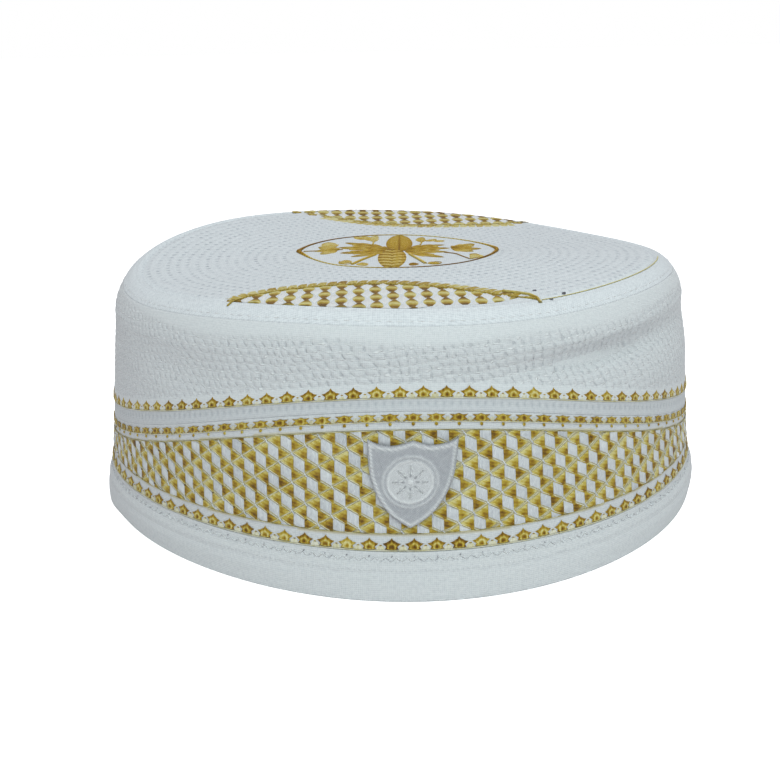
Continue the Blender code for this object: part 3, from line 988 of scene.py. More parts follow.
edge_stitch = 0.5 + 0.5 * np.cos(2 * math.pi * (badge_x + 1.7 * badge_y) / STITCH_PITCH)
badge_out = 0.00025 * np.clip(edge_far / 0.0009, 0.0, 1.0)
badge_out = badge_out + (0.00010 + 0.00022 * edge_stitch) * bump_at(edge_far, 0.0006, 0.00040)
for radius in RING_RADII:
    badge_out = badge_out + 0.00030 * bump_at(ring_far, radius, 0.0003)
badge_shade = 0.42 + (0.15 + 0.35 * edge_stitch) * bump_at(edge_far, 0.0007, 0.0005)
badge_shade = badge_shade + 0.28 * (ring_far < RING_RADII[1])
for radius in RING_RADII:
    badge_shade = badge_shade + 0.22 * bump_at(ring_far, radius, 0.0004)
# Darker along the very edge of the shield: painted shade where its rim slopes down to the cloth.
badge_shade = badge_shade - 0.12 * bump_at(edge_far, 0.0, 0.00030)
face = lay_badge(badge_x, badge_y, badge_out)
back = lay_badge(badge_x, badge_y, -BADGE_CLOTH)
grid = np.arange(badge_x.size).reshape(badge_x.shape)
rim = np.concatenate([grid[0, :-1], grid[:-1, -1], grid[-1, :0:-1], grid[:0:-1, 0]])
after = np.roll(rim, -1)
walls = np.stack([rim, rim + grid.size, after + grid.size, after], 1)
badge_faces = np.concatenate([quads_of(grid), quads_of(grid)[:, ::-1] + grid.size, walls])
badge_ramp = [(0.0, (0.16, 0.17, 0.18)), (0.3, (0.36, 0.37, 0.41)), (0.5, (0.52, 0.53, 0.56)),
              (0.75, (0.72, 0.73, 0.75)), (1.0, (0.84, 0.85, 0.86))]
badge_satin = silk("pale badge satin", badge_ramp, 0.36, 0.45, 0.1, 0.2, 0.0)
lie = np.stack([badge_x + 0.6 * badge_y, badge_y - 0.6 * badge_x], -1).reshape(-1, 2) / MM
badge = new_piece("badge_shield", np.concatenate([face.reshape(-1, 3), back.reshape(-1, 3)]), [badge_faces],
                  badge_satin, maps={"lie": np.concatenate([lie, lie])},
                  marks={"shade": np.concatenate([badge_shade.ravel(), badge_shade.ravel()])})
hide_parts("badge")


def leaf(root, tip, width, lift, shade, teeth=0.0, notches=3, bend=0.0, vein=0.25, full=0.8, ribs=0.15,
         steps=14):
    """A satin leaf or petal: a middle line from root to tip, bowed to one side, with a half width that
    swells and dies along it and may be notched; domed, with the vein pressed in and darker."""
    root, tip = np.array(root, float), np.array(tip, float)
    s = np.linspace(0.0, 1.0, steps)[:, None]
    t = np.array([-1.0, -0.6, -0.15, 0.0, 0.15, 0.6, 1.0])
    ahead = (tip - root) / np.linalg.norm(tip - root)
    side = np.array([-ahead[1], ahead[0]])
    half = 0.5 * width * np.clip(np.sin(math.pi * s**0.9), 0.0, 1.0)**full
    half = half * (1.0 - teeth * (1.0 - (s * notches) % 1.0)) + 0.02
    line = root + (tip - root) * s + side * bend * np.sin(math.pi * s)
    x = line[:, :1] + side[0] * half * t
    y = line[:, 1:] + side[1] * half * t
    round_off = np.clip(half / (0.25 * width), 0.0, 1.0)
    out = -0.05 + lift * round_off * (1.05 - t**2) * (1.0 - 0.35 * np.exp(-(t / 0.1)**2))
    tone = shade - vein * np.exp(-(t / 0.1)**2) - 0.25 * np.abs(t)**4
    tone = tone + ribs * np.sin(2 * math.pi * (s * notches + 0.6 * np.abs(t))) - 0.22 * (1.0 - s)**2
    grid = np.arange(x.size).reshape(x.shape)
    return motif_of(x, y, out, halves(quads_of(grid))[:, ::-1], tone,
                    s * np.linalg.norm(tip - root) + 0.6 * np.abs(t) * width, width * t + 0.0 * s)


rosette = []
for turn in np.arange(PETALS) * 2 * math.pi / PETALS:
    away = np.array([math.sin(turn), math.cos(turn)])
    centre = np.array(RING_AT) / MM
    petal = leaf(centre + 1.0 * away, centre + 5.0 * away, 2.1, 0.45, 0.85, vein=0.35, steps=9)
    rosette.append(embroider(petal, [(0.0, 0.0)], lay_badge, None, 0.0))
dot = star(circle(0.95, 12), (0.0, 0.0), (0.3, 0.65), (0.95, 0.9, 0.8, 0.7, 0.5),
           (0.60, 0.55, 0.42, 0.25, -0.05))
rosette.append(embroider(dot, [RING_AT], lay_badge, None, 0.0))
on_badge = sew("badge_rosette", rosette, badge_satin)

# Rib. A narrow tape of white cotton over cords, sewn between cuff and side cloth. Two ridges run right
# round, and short upright dents lie between them at one pitch, like the rungs of a ladder.

RUNG_PITCH = 0.00225
RIB_ROWS = [0.0, 0.03, 0.08, 0.14, 0.20, 0.27, 0.33, 0.38, 0.42, 0.46, 0.50, 0.56, 0.63, 0.70, 0.77, 0.84,
            0.90, 0.95, 0.98, 1.0]
rib_top = swing(0.0431, 0.0106)
rib_run = run_round(lambda angle: 0.5 * (rib_foot(angle) + rib_top(angle)))
rib_length = rib_run[-1] - rib_run[0]
rungs = round(rib_length / RUNG_PITCH)
rib_columns = rungs * 5
rib_angles = angle_at(rib_length * np.arange(rib_columns) / rib_columns, rib_run)
rib_share = np.array(RIB_ROWS)[:, None]
rib_heights = rib_foot(rib_angles) + (rib_top(rib_angles) - rib_foot(rib_angles)) * rib_share
pinch = np.cos(2 * math.pi * np.arange(rib_columns) / 5) * 0.5 + 0.5
ridge = 0.00008 * (bump_at(rib_share, 0.16, 0.14) + bump_at(rib_share, 0.84, 0.14))
rib_relief = ridge - 0.00020 * pinch**3 * bump_at(rib_share, 0.52, 0.22)
rib_relief = rib_relief - 0.00012 - 0.00005 * ((rib_share == 0.0) | (rib_share == 1.0))
rib_rows = [wall_point(rib_angles, rib_heights, rib_relief)]
for share in (1.0, 0.5, 0.0):
    height = rib_foot(rib_angles) + (rib_top(rib_angles) - rib_foot(rib_angles)) * share
    rib_rows.append(wall_point(rib_angles, height, -CLOTH)[None])
rib_rows = np.concatenate(rib_rows)
rib_faces, rib_spots = ring_faces(len(rib_rows), rib_columns, True)
rung_mark = np.zeros(rib_rows.shape[:2])
rung_mark[:len(rib_share)] = pinch**3 * bump_at(rib_share, 0.54, 0.17)
rib_cotton, _ = white_cotton("white corded cotton", WHITE)
rib_cotton.tint(maths(rib_cotton.tree, "MULTIPLY_ADD", rib_cotton.mark("rungs"), 0.38, 0.17), SHADE)
rib_cloth = new_piece("rib_cloth", rib_rows, [rib_faces], rib_cotton.done(WEAVE_DEPTH),
                      maps={"cloth": cloth_map(rib_rows, rib_spots)}, marks={"rungs": rung_mark})
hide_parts("rib_tape")

# Side cloth. White cotton over wadding, from the rib up over half of the rounded shoulder. Most of it is darned
# in leaning cells that wander a little: each is a puff with a pricked groove at one side, darkened with painted
# shade, and a bright stitch at its foot, a whiter thread with a painted highlight. A plain strip is left above
# the darning, up to the seam.

CROWN_WAVES = [(1, -0.00114, -0.00114), (2, 0.00057, 0.00175), (3, 0.00039, -0.00076), (4, 0.0, -0.00064)]
SHOULDER_RISE = 0.0110
SHOULDER_RUN_SIDE = 0.0081
SHOULDER_RUN_FRONT = 0.0084
SHOULDER_POWER = 1.254
SEAM_AT = 0.53
SEAM_LAP = 0.012
SIDE_COLUMNS = 1100
SIDE_STARS = 94
SIDE_STARS_FROM = -0.00029
SIDE_STARS_EYE = 0.00042
PUFFS_ROUND = 200
PUFFS_SLANT = 20
PUFF_LIFT = 0.00032
FOLD_DEGREES = (38.0, 20.0)
FOLD_HEIGHT = 0.0592
FOLD_SLOPE = 0.0011
DARN_LIGHT = (0.80, 0.84, 0.85)
STITCH_WHITE_AND_HIGHLIGHT = (0.84, 0.85, 0.86)


def crown_edge_height(angle):
    """Height at which the shoulder turns level: the crown's height with a few waves round the cap."""
    total = CROWN_HEIGHT + 0.0 * angle
    for turns, cos_part, sin_part in CROWN_WAVES:
        total = total + cos_part * np.cos(turns * angle) + sin_part * np.sin(turns * angle)
    return total


def shoulder_point(angle, share):
    """Rounded shoulder: a quarter of a superellipse from the top of the wall, share 0, to the edge of
    the crown, share 1."""
    turn = share * math.pi / 2
    run = 1.0 - np.clip(np.cos(turn), 0.0, 1.0)**SHOULDER_POWER
    drop = 1.0 - np.clip(np.sin(turn), 0.0, 1.0)**SHOULDER_POWER
    start = wall_point(angle, crown_edge_height(angle) - SHOULDER_RISE)
    x = start[..., 0] - SHOULDER_RUN_SIDE * run * np.sin(angle)
    y = start[..., 1] + SHOULDER_RUN_FRONT * run * np.cos(angle)
    return np.stack([x, y, crown_edge_height(angle) - SHOULDER_RISE * drop], axis=-1)


def outward(rows):
    """Unit normals of a ring surface, from the cross product of its steps round and up."""
    round_step = np.roll(rows, -1, axis=1) - np.roll(rows, 1, axis=1)
    normal = np.cross(round_step, np.gradient(rows, axis=0))
    return normal / np.linalg.norm(normal, axis=-1, keepdims=True)


def smooth(value):
    """Nought below 0, one above 1, an S-curve between."""
    value = np.clip(value, 0.0, 1.0)
    return value * value * (3 - 2 * value)


def to_line(value):
    """Distance to the nearest whole number."""
    return np.abs(value - np.round(value))


upper_row = swing(0.04327, 0.01061, 0.00021)
side_run = run_round(flat_line(0.055))
side_length = side_run[-1] - side_run[0]
side_angles = angle_at(side_length * np.arange(SIDE_COLUMNS) / SIDE_COLUMNS, side_run)
wall_share = np.concatenate([[0.0, 0.006], np.linspace(0.02, 1.0, 50)])[:, None]
side_low = rib_top(side_angles) - TUCK
side_high = crown_edge_height(side_angles) - SHOULDER_RISE
wall_heights = side_low + (side_high - side_low) * wall_share
turn_share = np.concatenate([np.linspace(0.03, SEAM_AT - 0.03, 16),
                             [SEAM_AT, SEAM_AT + SEAM_LAP]])[:, None]
side_face = np.concatenate([wall_point(side_angles, wall_heights), shoulder_point(side_angles, turn_share)])
for _ in range(6):
    side_face[43:60] = 0.25 * side_face[42:59] + 0.5 * side_face[43:60] + 0.25 * side_face[44:61]
side_normal = outward(side_face)
puff_size = side_length / math.hypot(PUFFS_ROUND, PUFFS_SLANT)
slant = math.atan2(PUFFS_SLANT, PUFFS_ROUND)
side_up = np.zeros(side_face.shape[:2])
side_up[1:] = np.cumsum(np.linalg.norm(np.diff(side_face, axis=0), axis=2), axis=0)
side_up = side_up + side_low
round_share = np.arange(SIDE_COLUMNS + 1) / SIDE_COLUMNS
puffs_up = np.concatenate([side_up, side_up[:, :1]], axis=1) / puff_size
cell_across = PUFFS_ROUND * round_share + puffs_up * math.sin(slant)
cell_up = -PUFFS_SLANT * round_share + 1.22 * puffs_up * math.cos(slant)
from_front = (side_angles + math.pi) % (2 * math.pi) - math.pi
lean = 0.1 + 0.45 * bump_at(np.append(from_front, from_front[0]), -0.9, 0.9)
cell_across = cell_across + lean * (puffs_up - puffs_up.mean())
wander = np.random.default_rng(5).normal(0.0, 1.0, (4, 6))
for k in range(6):
    turns = (k + 3) * round_share * (2 + k % 3)
    wave = np.sin(2 * math.pi * turns + wander[0, k] + puffs_up * 0.35 * wander[1, k])
    cell_across = cell_across + 0.14 * wander[2, k] * wave
    cell_up = cell_up + 0.14 * wander[3, k] * wave
field_top = (0.19 + 0.05 * wander[0, 0] * np.sin(9 * side_angles + 1.0)
             + 0.30 * bump_at(from_front, -1.45, 0.50))
side_field = np.concatenate([
    smooth((wall_heights - upper_row(side_angles) - 0.0028) / 0.0009),
    1.0 - smooth((turn_share - field_top) / 0.15)])
puff_strength = 0.50 + 0.50 * np.exp(-((from_front - 0.25) / 0.95)**2)
puff = (1.0 - np.exp(-(to_line(cell_across) / 0.20)**2)) * (1.0 - np.exp(-(to_line(cell_up) / 0.20)**2))
side_relief = side_field * (PUFF_LIFT * puff_strength * (puff[:, :-1] - 0.85) - 0.00005)
fold_across = side_angles - math.radians(FOLD_DEGREES[0])
fold_up = side_face[..., 2] - FOLD_HEIGHT - FOLD_SLOPE * fold_across
side_relief = side_relief + np.exp(-(fold_across / math.radians(FOLD_DEGREES[1]))**2) * (
    0.00060 * bump_at(fold_up, 0.0046, 0.0026) - 0.00200 * bump_at(fold_up, -0.0010, 0.0028))
side_relief[0] -= 0.0004
side_relief[-1] -= 0.0003
inner_at = [len(side_face) - 1, 60, 40, 20, 0]
side_rows = np.concatenate([side_face + side_relief[..., None] * side_normal,
                            side_face[inner_at] - CLOTH * side_normal[inner_at]])
side_faces, side_spots = ring_faces(len(side_rows), SIDE_COLUMNS, True)
cells = np.stack([cell_across, cell_up], axis=-1)
cells = np.concatenate([cells, cells[inner_at], cells[:1]])[side_spots]
side_mark = side_field * (0.3 + 0.7 * puff_strength)
side_mark = np.concatenate([side_mark, 0.0 * side_mark[inner_at]])


def darned_cells():
    """Darning drawn in cells: a pricked groove along one side of each cell, darkened with painted shade, and a
    raised stitch along most of its foot, brightened as a whiter thread with a painted highlight; both are
    broken by noise. Place counts cells across and up."""
    tree, given, made = new_group("darned cells", {"Place": None}, ("Groove", "Stitch"))
    place = parts_of(tree, given["Place"])
    uneven = noise(tree, given["Place"], 1.3, 3.0)
    shake = add_node(tree, "SeparateColor")
    tree.links.new(uneven["Color"], shake.inputs[0])
    shaken = [maths(tree, "MULTIPLY_ADD", shake.outputs[axis + 1], 0.8, place[axis]) for axis in (0, 1)]
    across, up = (maths(tree, "ADD", part, -0.4) for part in shaken)
    side = maths(tree, "PINGPONG", across, 0.5)
    foot = maths(tree, "PINGPONG", up, 0.5)
    strength = fade(tree, uneven["Fac"], 0.62, 0.38)
    rise = maths(tree, "FRACT", up)
    off_foot = maths(tree, "SUBTRACT", 1.0, fade(tree, rise, 0.03, 0.16))
    fall_off = maths(tree, "MULTIPLY", fade(tree, rise, 0.45, 0.9), off_foot)
    groove_and_shade = maths(tree, "MULTIPLY", fade(tree, side, 0.02, 0.17), fall_off)
    strong = maths(tree, "MULTIPLY_ADD", strength, 0.6, 0.4)
    tree.links.new(maths(tree, "MULTIPLY", groove_and_shade, strong), made["Groove"])
    middle = maths(tree, "PINGPONG", maths(tree, "ADD", across, 0.28), 0.5)
    stitch = maths(tree, "MULTIPLY", fade(tree, foot, 0.04, 0.15), fade(tree, middle, 0.12, 0.36))
    weak = maths(tree, "MULTIPLY_ADD", strength, -0.6, 1.0)
    tree.links.new(maths(tree, "MULTIPLY", stitch, weak), made["Stitch"])
    return tree


darn_group = darned_cells()
side_cotton, _ = white_cotton("darned white side cotton", WHITE)
side_darn = side_cotton.group(darn_group, Place=side_cotton.place("cells"))
side_amount = side_cotton.mark("field")
groove_and_shade = maths(side_cotton.tree, "MULTIPLY", side_darn["Groove"], side_amount)
stitch = maths(side_cotton.tree, "MULTIPLY", side_darn["Stitch"], side_amount)
side_cotton.tint(maths(side_cotton.tree, "MULTIPLY_ADD", side_amount, -0.25, 0.25), DARN_LIGHT)
# Painted shade in the pricked grooves, and whiter stitches carrying a painted highlight.
side_cotton.tint(groove_and_shade, SHADE, 0.34)
side_cotton.tint(stitch, STITCH_WHITE_AND_HIGHLIGHT, 0.8)
side_cotton.raise_by(groove_and_shade, -1.5)
side_cotton.raise_by(stitch, 1.9)
side_cloth = new_piece("side_cloth", side_rows, [side_faces], side_cotton.done(0.00014),
                       maps={"cloth": cloth_map(side_rows, side_spots), "cells": cells},
                       marks={"field": side_mark})
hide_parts("side_panel")

star_gold, star_cream = star_row(upper_row, SIDE_STARS, SIDE_STARS_FROM, SIDE_STARS_EYE, 101)
on_side = [sew("side_stars_gold", star_gold, gold_silk),
           sew("side_stars_cream", star_cream, cream_silk)]

# Crown. A flat oval of wadded white cotton that turns down over the shoulder to the seam. Its top is
# pricked in rings that follow the edge, and a stitched groove runs just inside the edge. It closes in
# the middle, under the medallion.

# The crown's cotton is set lighter than the wall's WHITE: painted light that brightens the flat top and
# shoulder.
CROWN_WHITE_WITH_PAINTED_LIGHT = (0.74, 0.77, 0.795)
PRICK_SHADE = (0.27, 0.31, 0.37)
CROWN_COLUMNS = 620
BACK_STRETCH = 1.08
BACK_AT = (0.0004, 0.0020)
DOT_PITCH = 3.3
RING_PITCH = 3.1
CROWN_REACH = 89.0
CROWN_ROUND = 520.0
POLE_RIM = 80.0
SHOULDER_ARC = 0.0142


def edge_of_crown():
    """Outline of the flat top, as direction from the front, reach, height and how far the wall's own
    angle is from that direction, in order of direction."""
    edge = shoulder_point(ROUND, 1.0)
    way = np.arctan2(edge[:, 0], -edge[:, 1])
    order = np.argsort(way)
    off = (ROUND - way + math.pi) % (2 * math.pi) - math.pi
    return way[order], np.hypot(edge[:, 0], edge[:, 1])[order], edge[order, 2], off[order]


edge_way, edge_reach, edge_height, edge_off = edge_of_crown()


def off_shoulder(angle, share, out):
    """Point of the shoulder moved out at 45 degrees, as far outward as up."""
    lift = out * math.sqrt(0.5)
    away = np.stack([lift * np.sin(angle), -lift * np.cos(angle), lift + 0.0 * angle], axis=-1)
    return shoulder_point(angle, share) + away


def on_crown(x, y, out):
    """Lays stitches on the flat top: its height goes from the middle's to the edge's with the square of
    the share of the way out. Past the edge they go on down the rounded shoulder."""
    way = np.arctan2(x, -y)
    reach = np.interp(way, edge_way, edge_reach, period=2 * math.pi)
    share = np.hypot(x, y) / reach
    rim = np.interp(way, edge_way, edge_height, period=2 * math.pi)
    height = CROWN_HEIGHT + (rim - CROWN_HEIGHT) * share**2
    top = np.stack([x + 0.0 * height, y + 0.0 * height, height + out], axis=-1)
    angle = way + np.interp(way, edge_way, edge_off, period=2 * math.pi)
    down = off_shoulder(angle, np.clip(1.0 - (share - 1.0) * reach / SHOULDER_ARC, SEAM_AT, 1.0), out)
    return np.where((share > 1.0)[..., None], down, top)


LENS_TIPS = (-0.0489, 0.0385)
LENS_KNOTS = [-0.0489, -0.0427, -0.0366, -0.0241, -0.0113, 0.0019, 0.0144, 0.0262, 0.0323, 0.0385]
LENS_ARC = [-0.0620, -0.0530, -0.0485, -0.0440, -0.0420, -0.0428, -0.0472, -0.0538, -0.0570, -0.0600]
LENS_FOOT_KNOTS = [-0.0489, 0.0013, 0.0063, 0.0122, 0.0213, 0.0263, 0.0313, 0.0347, 0.0385]
LENS_FOOT = [-0.0900, -0.0790, -0.0752, -0.0727, -0.0714, -0.0693, -0.0655, -0.0620, -0.0610]
LENS_MARGIN = 0.0006
MEDALLION_MIDDLE = (-0.0007, 0.0022)
MEDALLION_HALF = (0.0335, 0.0278)


def lens_inner(x):
    """The inner, bowed edge of the front half-moon."""
    return glide(x, LENS_KNOTS, LENS_ARC)


def in_lens(x, y):
    """Whether a point of the crown lies in the front half-moon or just inside its bowed edge."""
    return (y < lens_inner(x) + LENS_MARGIN) & (x > LENS_TIPS[0]) & (x < LENS_TIPS[1])


crown_run = run_round(flat_line(0.060))
crown_length = crown_run[-1] - crown_run[0]
crown_angles = angle_at(crown_length * np.arange(CROWN_COLUMNS) / CROWN_COLUMNS, crown_run)
crown_turn = np.concatenate([[SEAM_AT, SEAM_AT + 0.025], np.linspace(SEAM_AT + 0.05, 1.0, 16)])[:, None]
crown_share = np.linspace(1.0, 0.0, 122)[1:-1, None]
crown_edge = shoulder_point(crown_angles, 1.0)
top_height = CROWN_HEIGHT + (crown_edge[:, 2] - CROWN_HEIGHT) * crown_share**2
crown_face = np.concatenate([
    shoulder_point(crown_angles, crown_turn),
    np.stack([crown_edge[:, 0] * crown_share, crown_edge[:, 1] * crown_share, top_height], axis=-1)])
crown_normal = outward(crown_face)
x, y = crown_face[..., 0], crown_face[..., 1]
from_rim = np.concatenate([(crown_turn - 1.0) * SHOULDER_ARC + 0.0 * crown_angles,
                           (1.0 - crown_share) * np.hypot(crown_edge[:, 0], crown_edge[:, 1])])
front_lens = in_lens(x, y)
back_lens = in_lens((BACK_AT[0] - x) / BACK_STRETCH, BACK_AT[1] - y)
medallion_far = np.hypot((x - MEDALLION_MIDDLE[0]) / MEDALLION_HALF[0],
                         (y - MEDALLION_MIDDLE[1]) / MEDALLION_HALF[1])
crown_field = smooth((from_rim - 0.0022) / 0.0012) * smooth((medallion_far - 1.01) / 0.04)
crown_field = crown_field * ~front_lens * ~back_lens
crown_relief = 0.00012 * crown_field * (1.0 - 1.6 * (1.0 - 2.0 * to_line(from_rim / MM / RING_PITCH))**2)
crown_relief = crown_relief - 0.00070 * bump_at(from_rim, 0.0014, 0.0009) * (1.0 - 0.8 * front_lens)
crown_relief = crown_relief - 0.00022 * bump_at(from_rim, -0.0014, 0.0006)
crown_relief[0] -= 0.00004
inner_at = [17, 40, 70, 100, 125]
pole = np.array([[0.0, 0.0, CROWN_HEIGHT]])
crown_rows = np.concatenate([(crown_face[inner_at] - CLOTH * crown_normal[inner_at])[::-1],
                             (crown_face[:1] - CLOTH * crown_normal[:1]),
                             crown_face + crown_relief[..., None] * crown_normal])
crown_faces, crown_spots = ring_faces(len(crown_rows), CROWN_COLUMNS, False)
count = crown_rows.shape[0] * CROWN_COLUMNS
ring = np.arange(CROWN_COLUMNS)
after = np.roll(ring, -1)
last = count - CROWN_COLUMNS
crown_fans = np.concatenate([np.stack([last + ring, last + after, 0 * ring + count], 1),
                             np.stack([after, ring, 0 * ring + count + 1], 1)])
crown_points = np.concatenate([crown_rows.reshape(-1, 3), pole, pole - (0.0, 0.0, CLOTH)])
pad = np.zeros((len(inner_at) + 1, CROWN_COLUMNS))
crown_marks = {
    "field": np.append(np.concatenate([pad, crown_field]), [0.0, 0.0]),
    "rim": np.append(np.concatenate([pad + 20.0, from_rim / MM]), [POLE_RIM, POLE_RIM]),
}
round_mm = np.arange(CROWN_COLUMNS + 1) * CROWN_ROUND / CROWN_COLUMNS
edge_corners = np.stack([round_mm[crown_spots[1]], crown_marks["rim"][crown_faces]], -1).reshape(-1, 2)
fan_corners = np.stack([np.zeros(crown_fans.size), np.full(crown_fans.size, POLE_RIM)], -1)


def pricked_rings():
    """Needle pricks in rings that keep the oval of the edge: small dark ovals at nearly one pitch, their
    number rounded so that each ring closes. Place is in millimetres, Rim the distance from the edge."""
    tree, given, made = new_group("pricked rings", {"Place": None, "Rim": 0.0}, ("Prick",))
    place = parts_of(tree, given["Place"])
    turn = maths(tree, "DIVIDE", maths(tree, "ARCTAN2", place[0], place[1]), 2 * math.pi)
    ring = maths(tree, "DIVIDE", given["Rim"], RING_PITCH)
    row = maths(tree, "ROUND", ring)
    reach = maths(tree, "SUBTRACT", CROWN_REACH, maths(tree, "MULTIPLY", row, RING_PITCH))
    many = maths(tree, "ROUND", maths(tree, "MULTIPLY", reach, 2 * math.pi / DOT_PITCH))
    odd = maths(tree, "MULTIPLY", maths(tree, "PINGPONG", row, 1.0), 0.5)
    across = maths(tree, "PINGPONG", maths(tree, "MULTIPLY_ADD", turn, many, odd), 0.5)
    up = maths(tree, "PINGPONG", ring, 0.5)
    far = maths(tree, "SQRT", maths(tree, "ADD", maths(tree, "MULTIPLY", across, across),
                                    maths(tree, "MULTIPLY", up, up)))
    uneven = noise(tree, given["Place"], 0.25)["Fac"]
    depth = maths(tree, "MULTIPLY_ADD", fade(tree, uneven, 0.65, 0.35), 0.75, 0.25)
    tree.links.new(maths(tree, "MULTIPLY", fade(tree, far, 0.08, 0.30), depth), made["Prick"])
    return tree


prick_group = pricked_rings()
# Painted light: this cotton's colour is lighter than the wall's, for the brighter-lit top.
crown_cotton, crown_place = white_cotton("pricked white crown cotton", CROWN_WHITE_WITH_PAINTED_LIGHT, 0.62, in_space=True)
pricks = crown_cotton.group(prick_group, Place=crown_place, Rim=crown_cotton.mark("rim"))
prick = maths(crown_cotton.tree, "MULTIPLY", pricks["Prick"], crown_cotton.mark("field"))
crown_cotton.tint(prick, PRICK_SHADE, 0.55)
crown_cotton.raise_by(prick, -2.0)
rim_marks = crown_cotton.group(needle_group, Place=crown_cotton.place("edge"), Pitch=3.0, Line=1.3, Long=0.5,
                               Tall=0.35)
crown_cotton.tint(rim_marks["Mask"], PRICK_SHADE, 0.3)
crown_cloth = new_piece(
    "crown_cloth", crown_points, [crown_faces, crown_fans], crown_cotton.done(0.00013),
    maps={"edge": np.concatenate([edge_corners, fan_corners])}, marks=crown_marks)
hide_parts("crown_panel")

# Seam stitches. Side cloth and crown meet in a seam that runs half way up the shoulder, and a row of
# short white stitches lies just above it. Three dark needle marks at the tip of the front half-moon are
# sewn in the same thread.

SEAM_STITCHES = 190
SEAM_STITCH_UP = 0.0012
NEEDLE_MARKS = [(0.0380, -0.0570), (0.0418, -0.0662), (0.0458, -0.0600)]


def on_shoulder(x, y, out):
    """Lays stitches along the seam: x is the distance round, y the distance up from the seam."""
    return off_shoulder(angle_at(x, crown_run), SEAM_AT + y / SHOULDER_ARC, out)


seam_spots = crown_length * np.arange(SEAM_STITCHES) / SEAM_STITCHES
seam_thread = embroider(thread_bit(1.9, 0.0, 0.10, 0.80), in_line(seam_spots, SEAM_STITCH_UP), on_shoulder,
                        None, 0.05, 111)
dark_marks = embroider(thread_bit(1.3, 0.2, 0.36, 0.02), NEEDLE_MARKS, on_crown, None, 0.05, 112)
on_crown_cloth = [sew("seam_stitches", [seam_thread, dark_marks], white_silk)]

# Half-moons of the crown. At front and at back a half-moon between the crown's edge and a bowed row of
# stars is filled with upright strings of gold satin bobbins, and white satin lozenges stand between them.

COLUMN_FROM = -0.0064
COLUMN_PITCH = 0.00475
BOBBIN_PITCH = 0.0093
BAND = 0.0060
RIM_GAP = 0.0003
MOON_STARS = 15
BRAIDS = 34
END_CORD = [(0.0290, -0.0572), (0.0330, -0.0592), (0.0360, -0.0612), (0.0376, -0.0648), (0.0386, -0.0690)]
BOBBIN_KNOTS = [-0.0450, -0.0249, -0.0112, -0.0016, 0.0080, 0.0176, 0.0268, 0.0360]
BOBBIN_LINE = [-0.0680, -0.0617, -0.0569, -0.0533, -0.0509, -0.0495, -0.0482, -0.0475]


def bobbin(width, length):
    """One bobbin of a string: a long hexagon, domed, dark at its tips and foot and light in the middle. The
    light middle band is a painted sheen highlight on the satin.
    """
    s = np.array([-0.5, -0.36, -0.2, 0.0, 0.2, 0.36, 0.5])[:, None]
    half = np.array([0.36, 0.56, 0.84, 1.0, 0.84, 0.56, 0.36])[:, None] * width / 2
    t = np.array([-1.0, -0.45, 0.45, 1.0])
    x = half * t
    y = s * length + 0.0 * x
    grid = np.arange(28).reshape(7, 4)
    # Tone: the bright middle row is a painted sheen highlight.
    tone = np.array([0.16, 0.0, 0.45, 1.0, 0.42, 0.0, 0.16])[:, None] + 0.10 * np.abs(t)
    out = -0.05 + 0.36 * (half / width * 2) * (1.02 - t**2)
    return motif_of(x, y, out, halves(quads_of(grid)), tone, y, x)


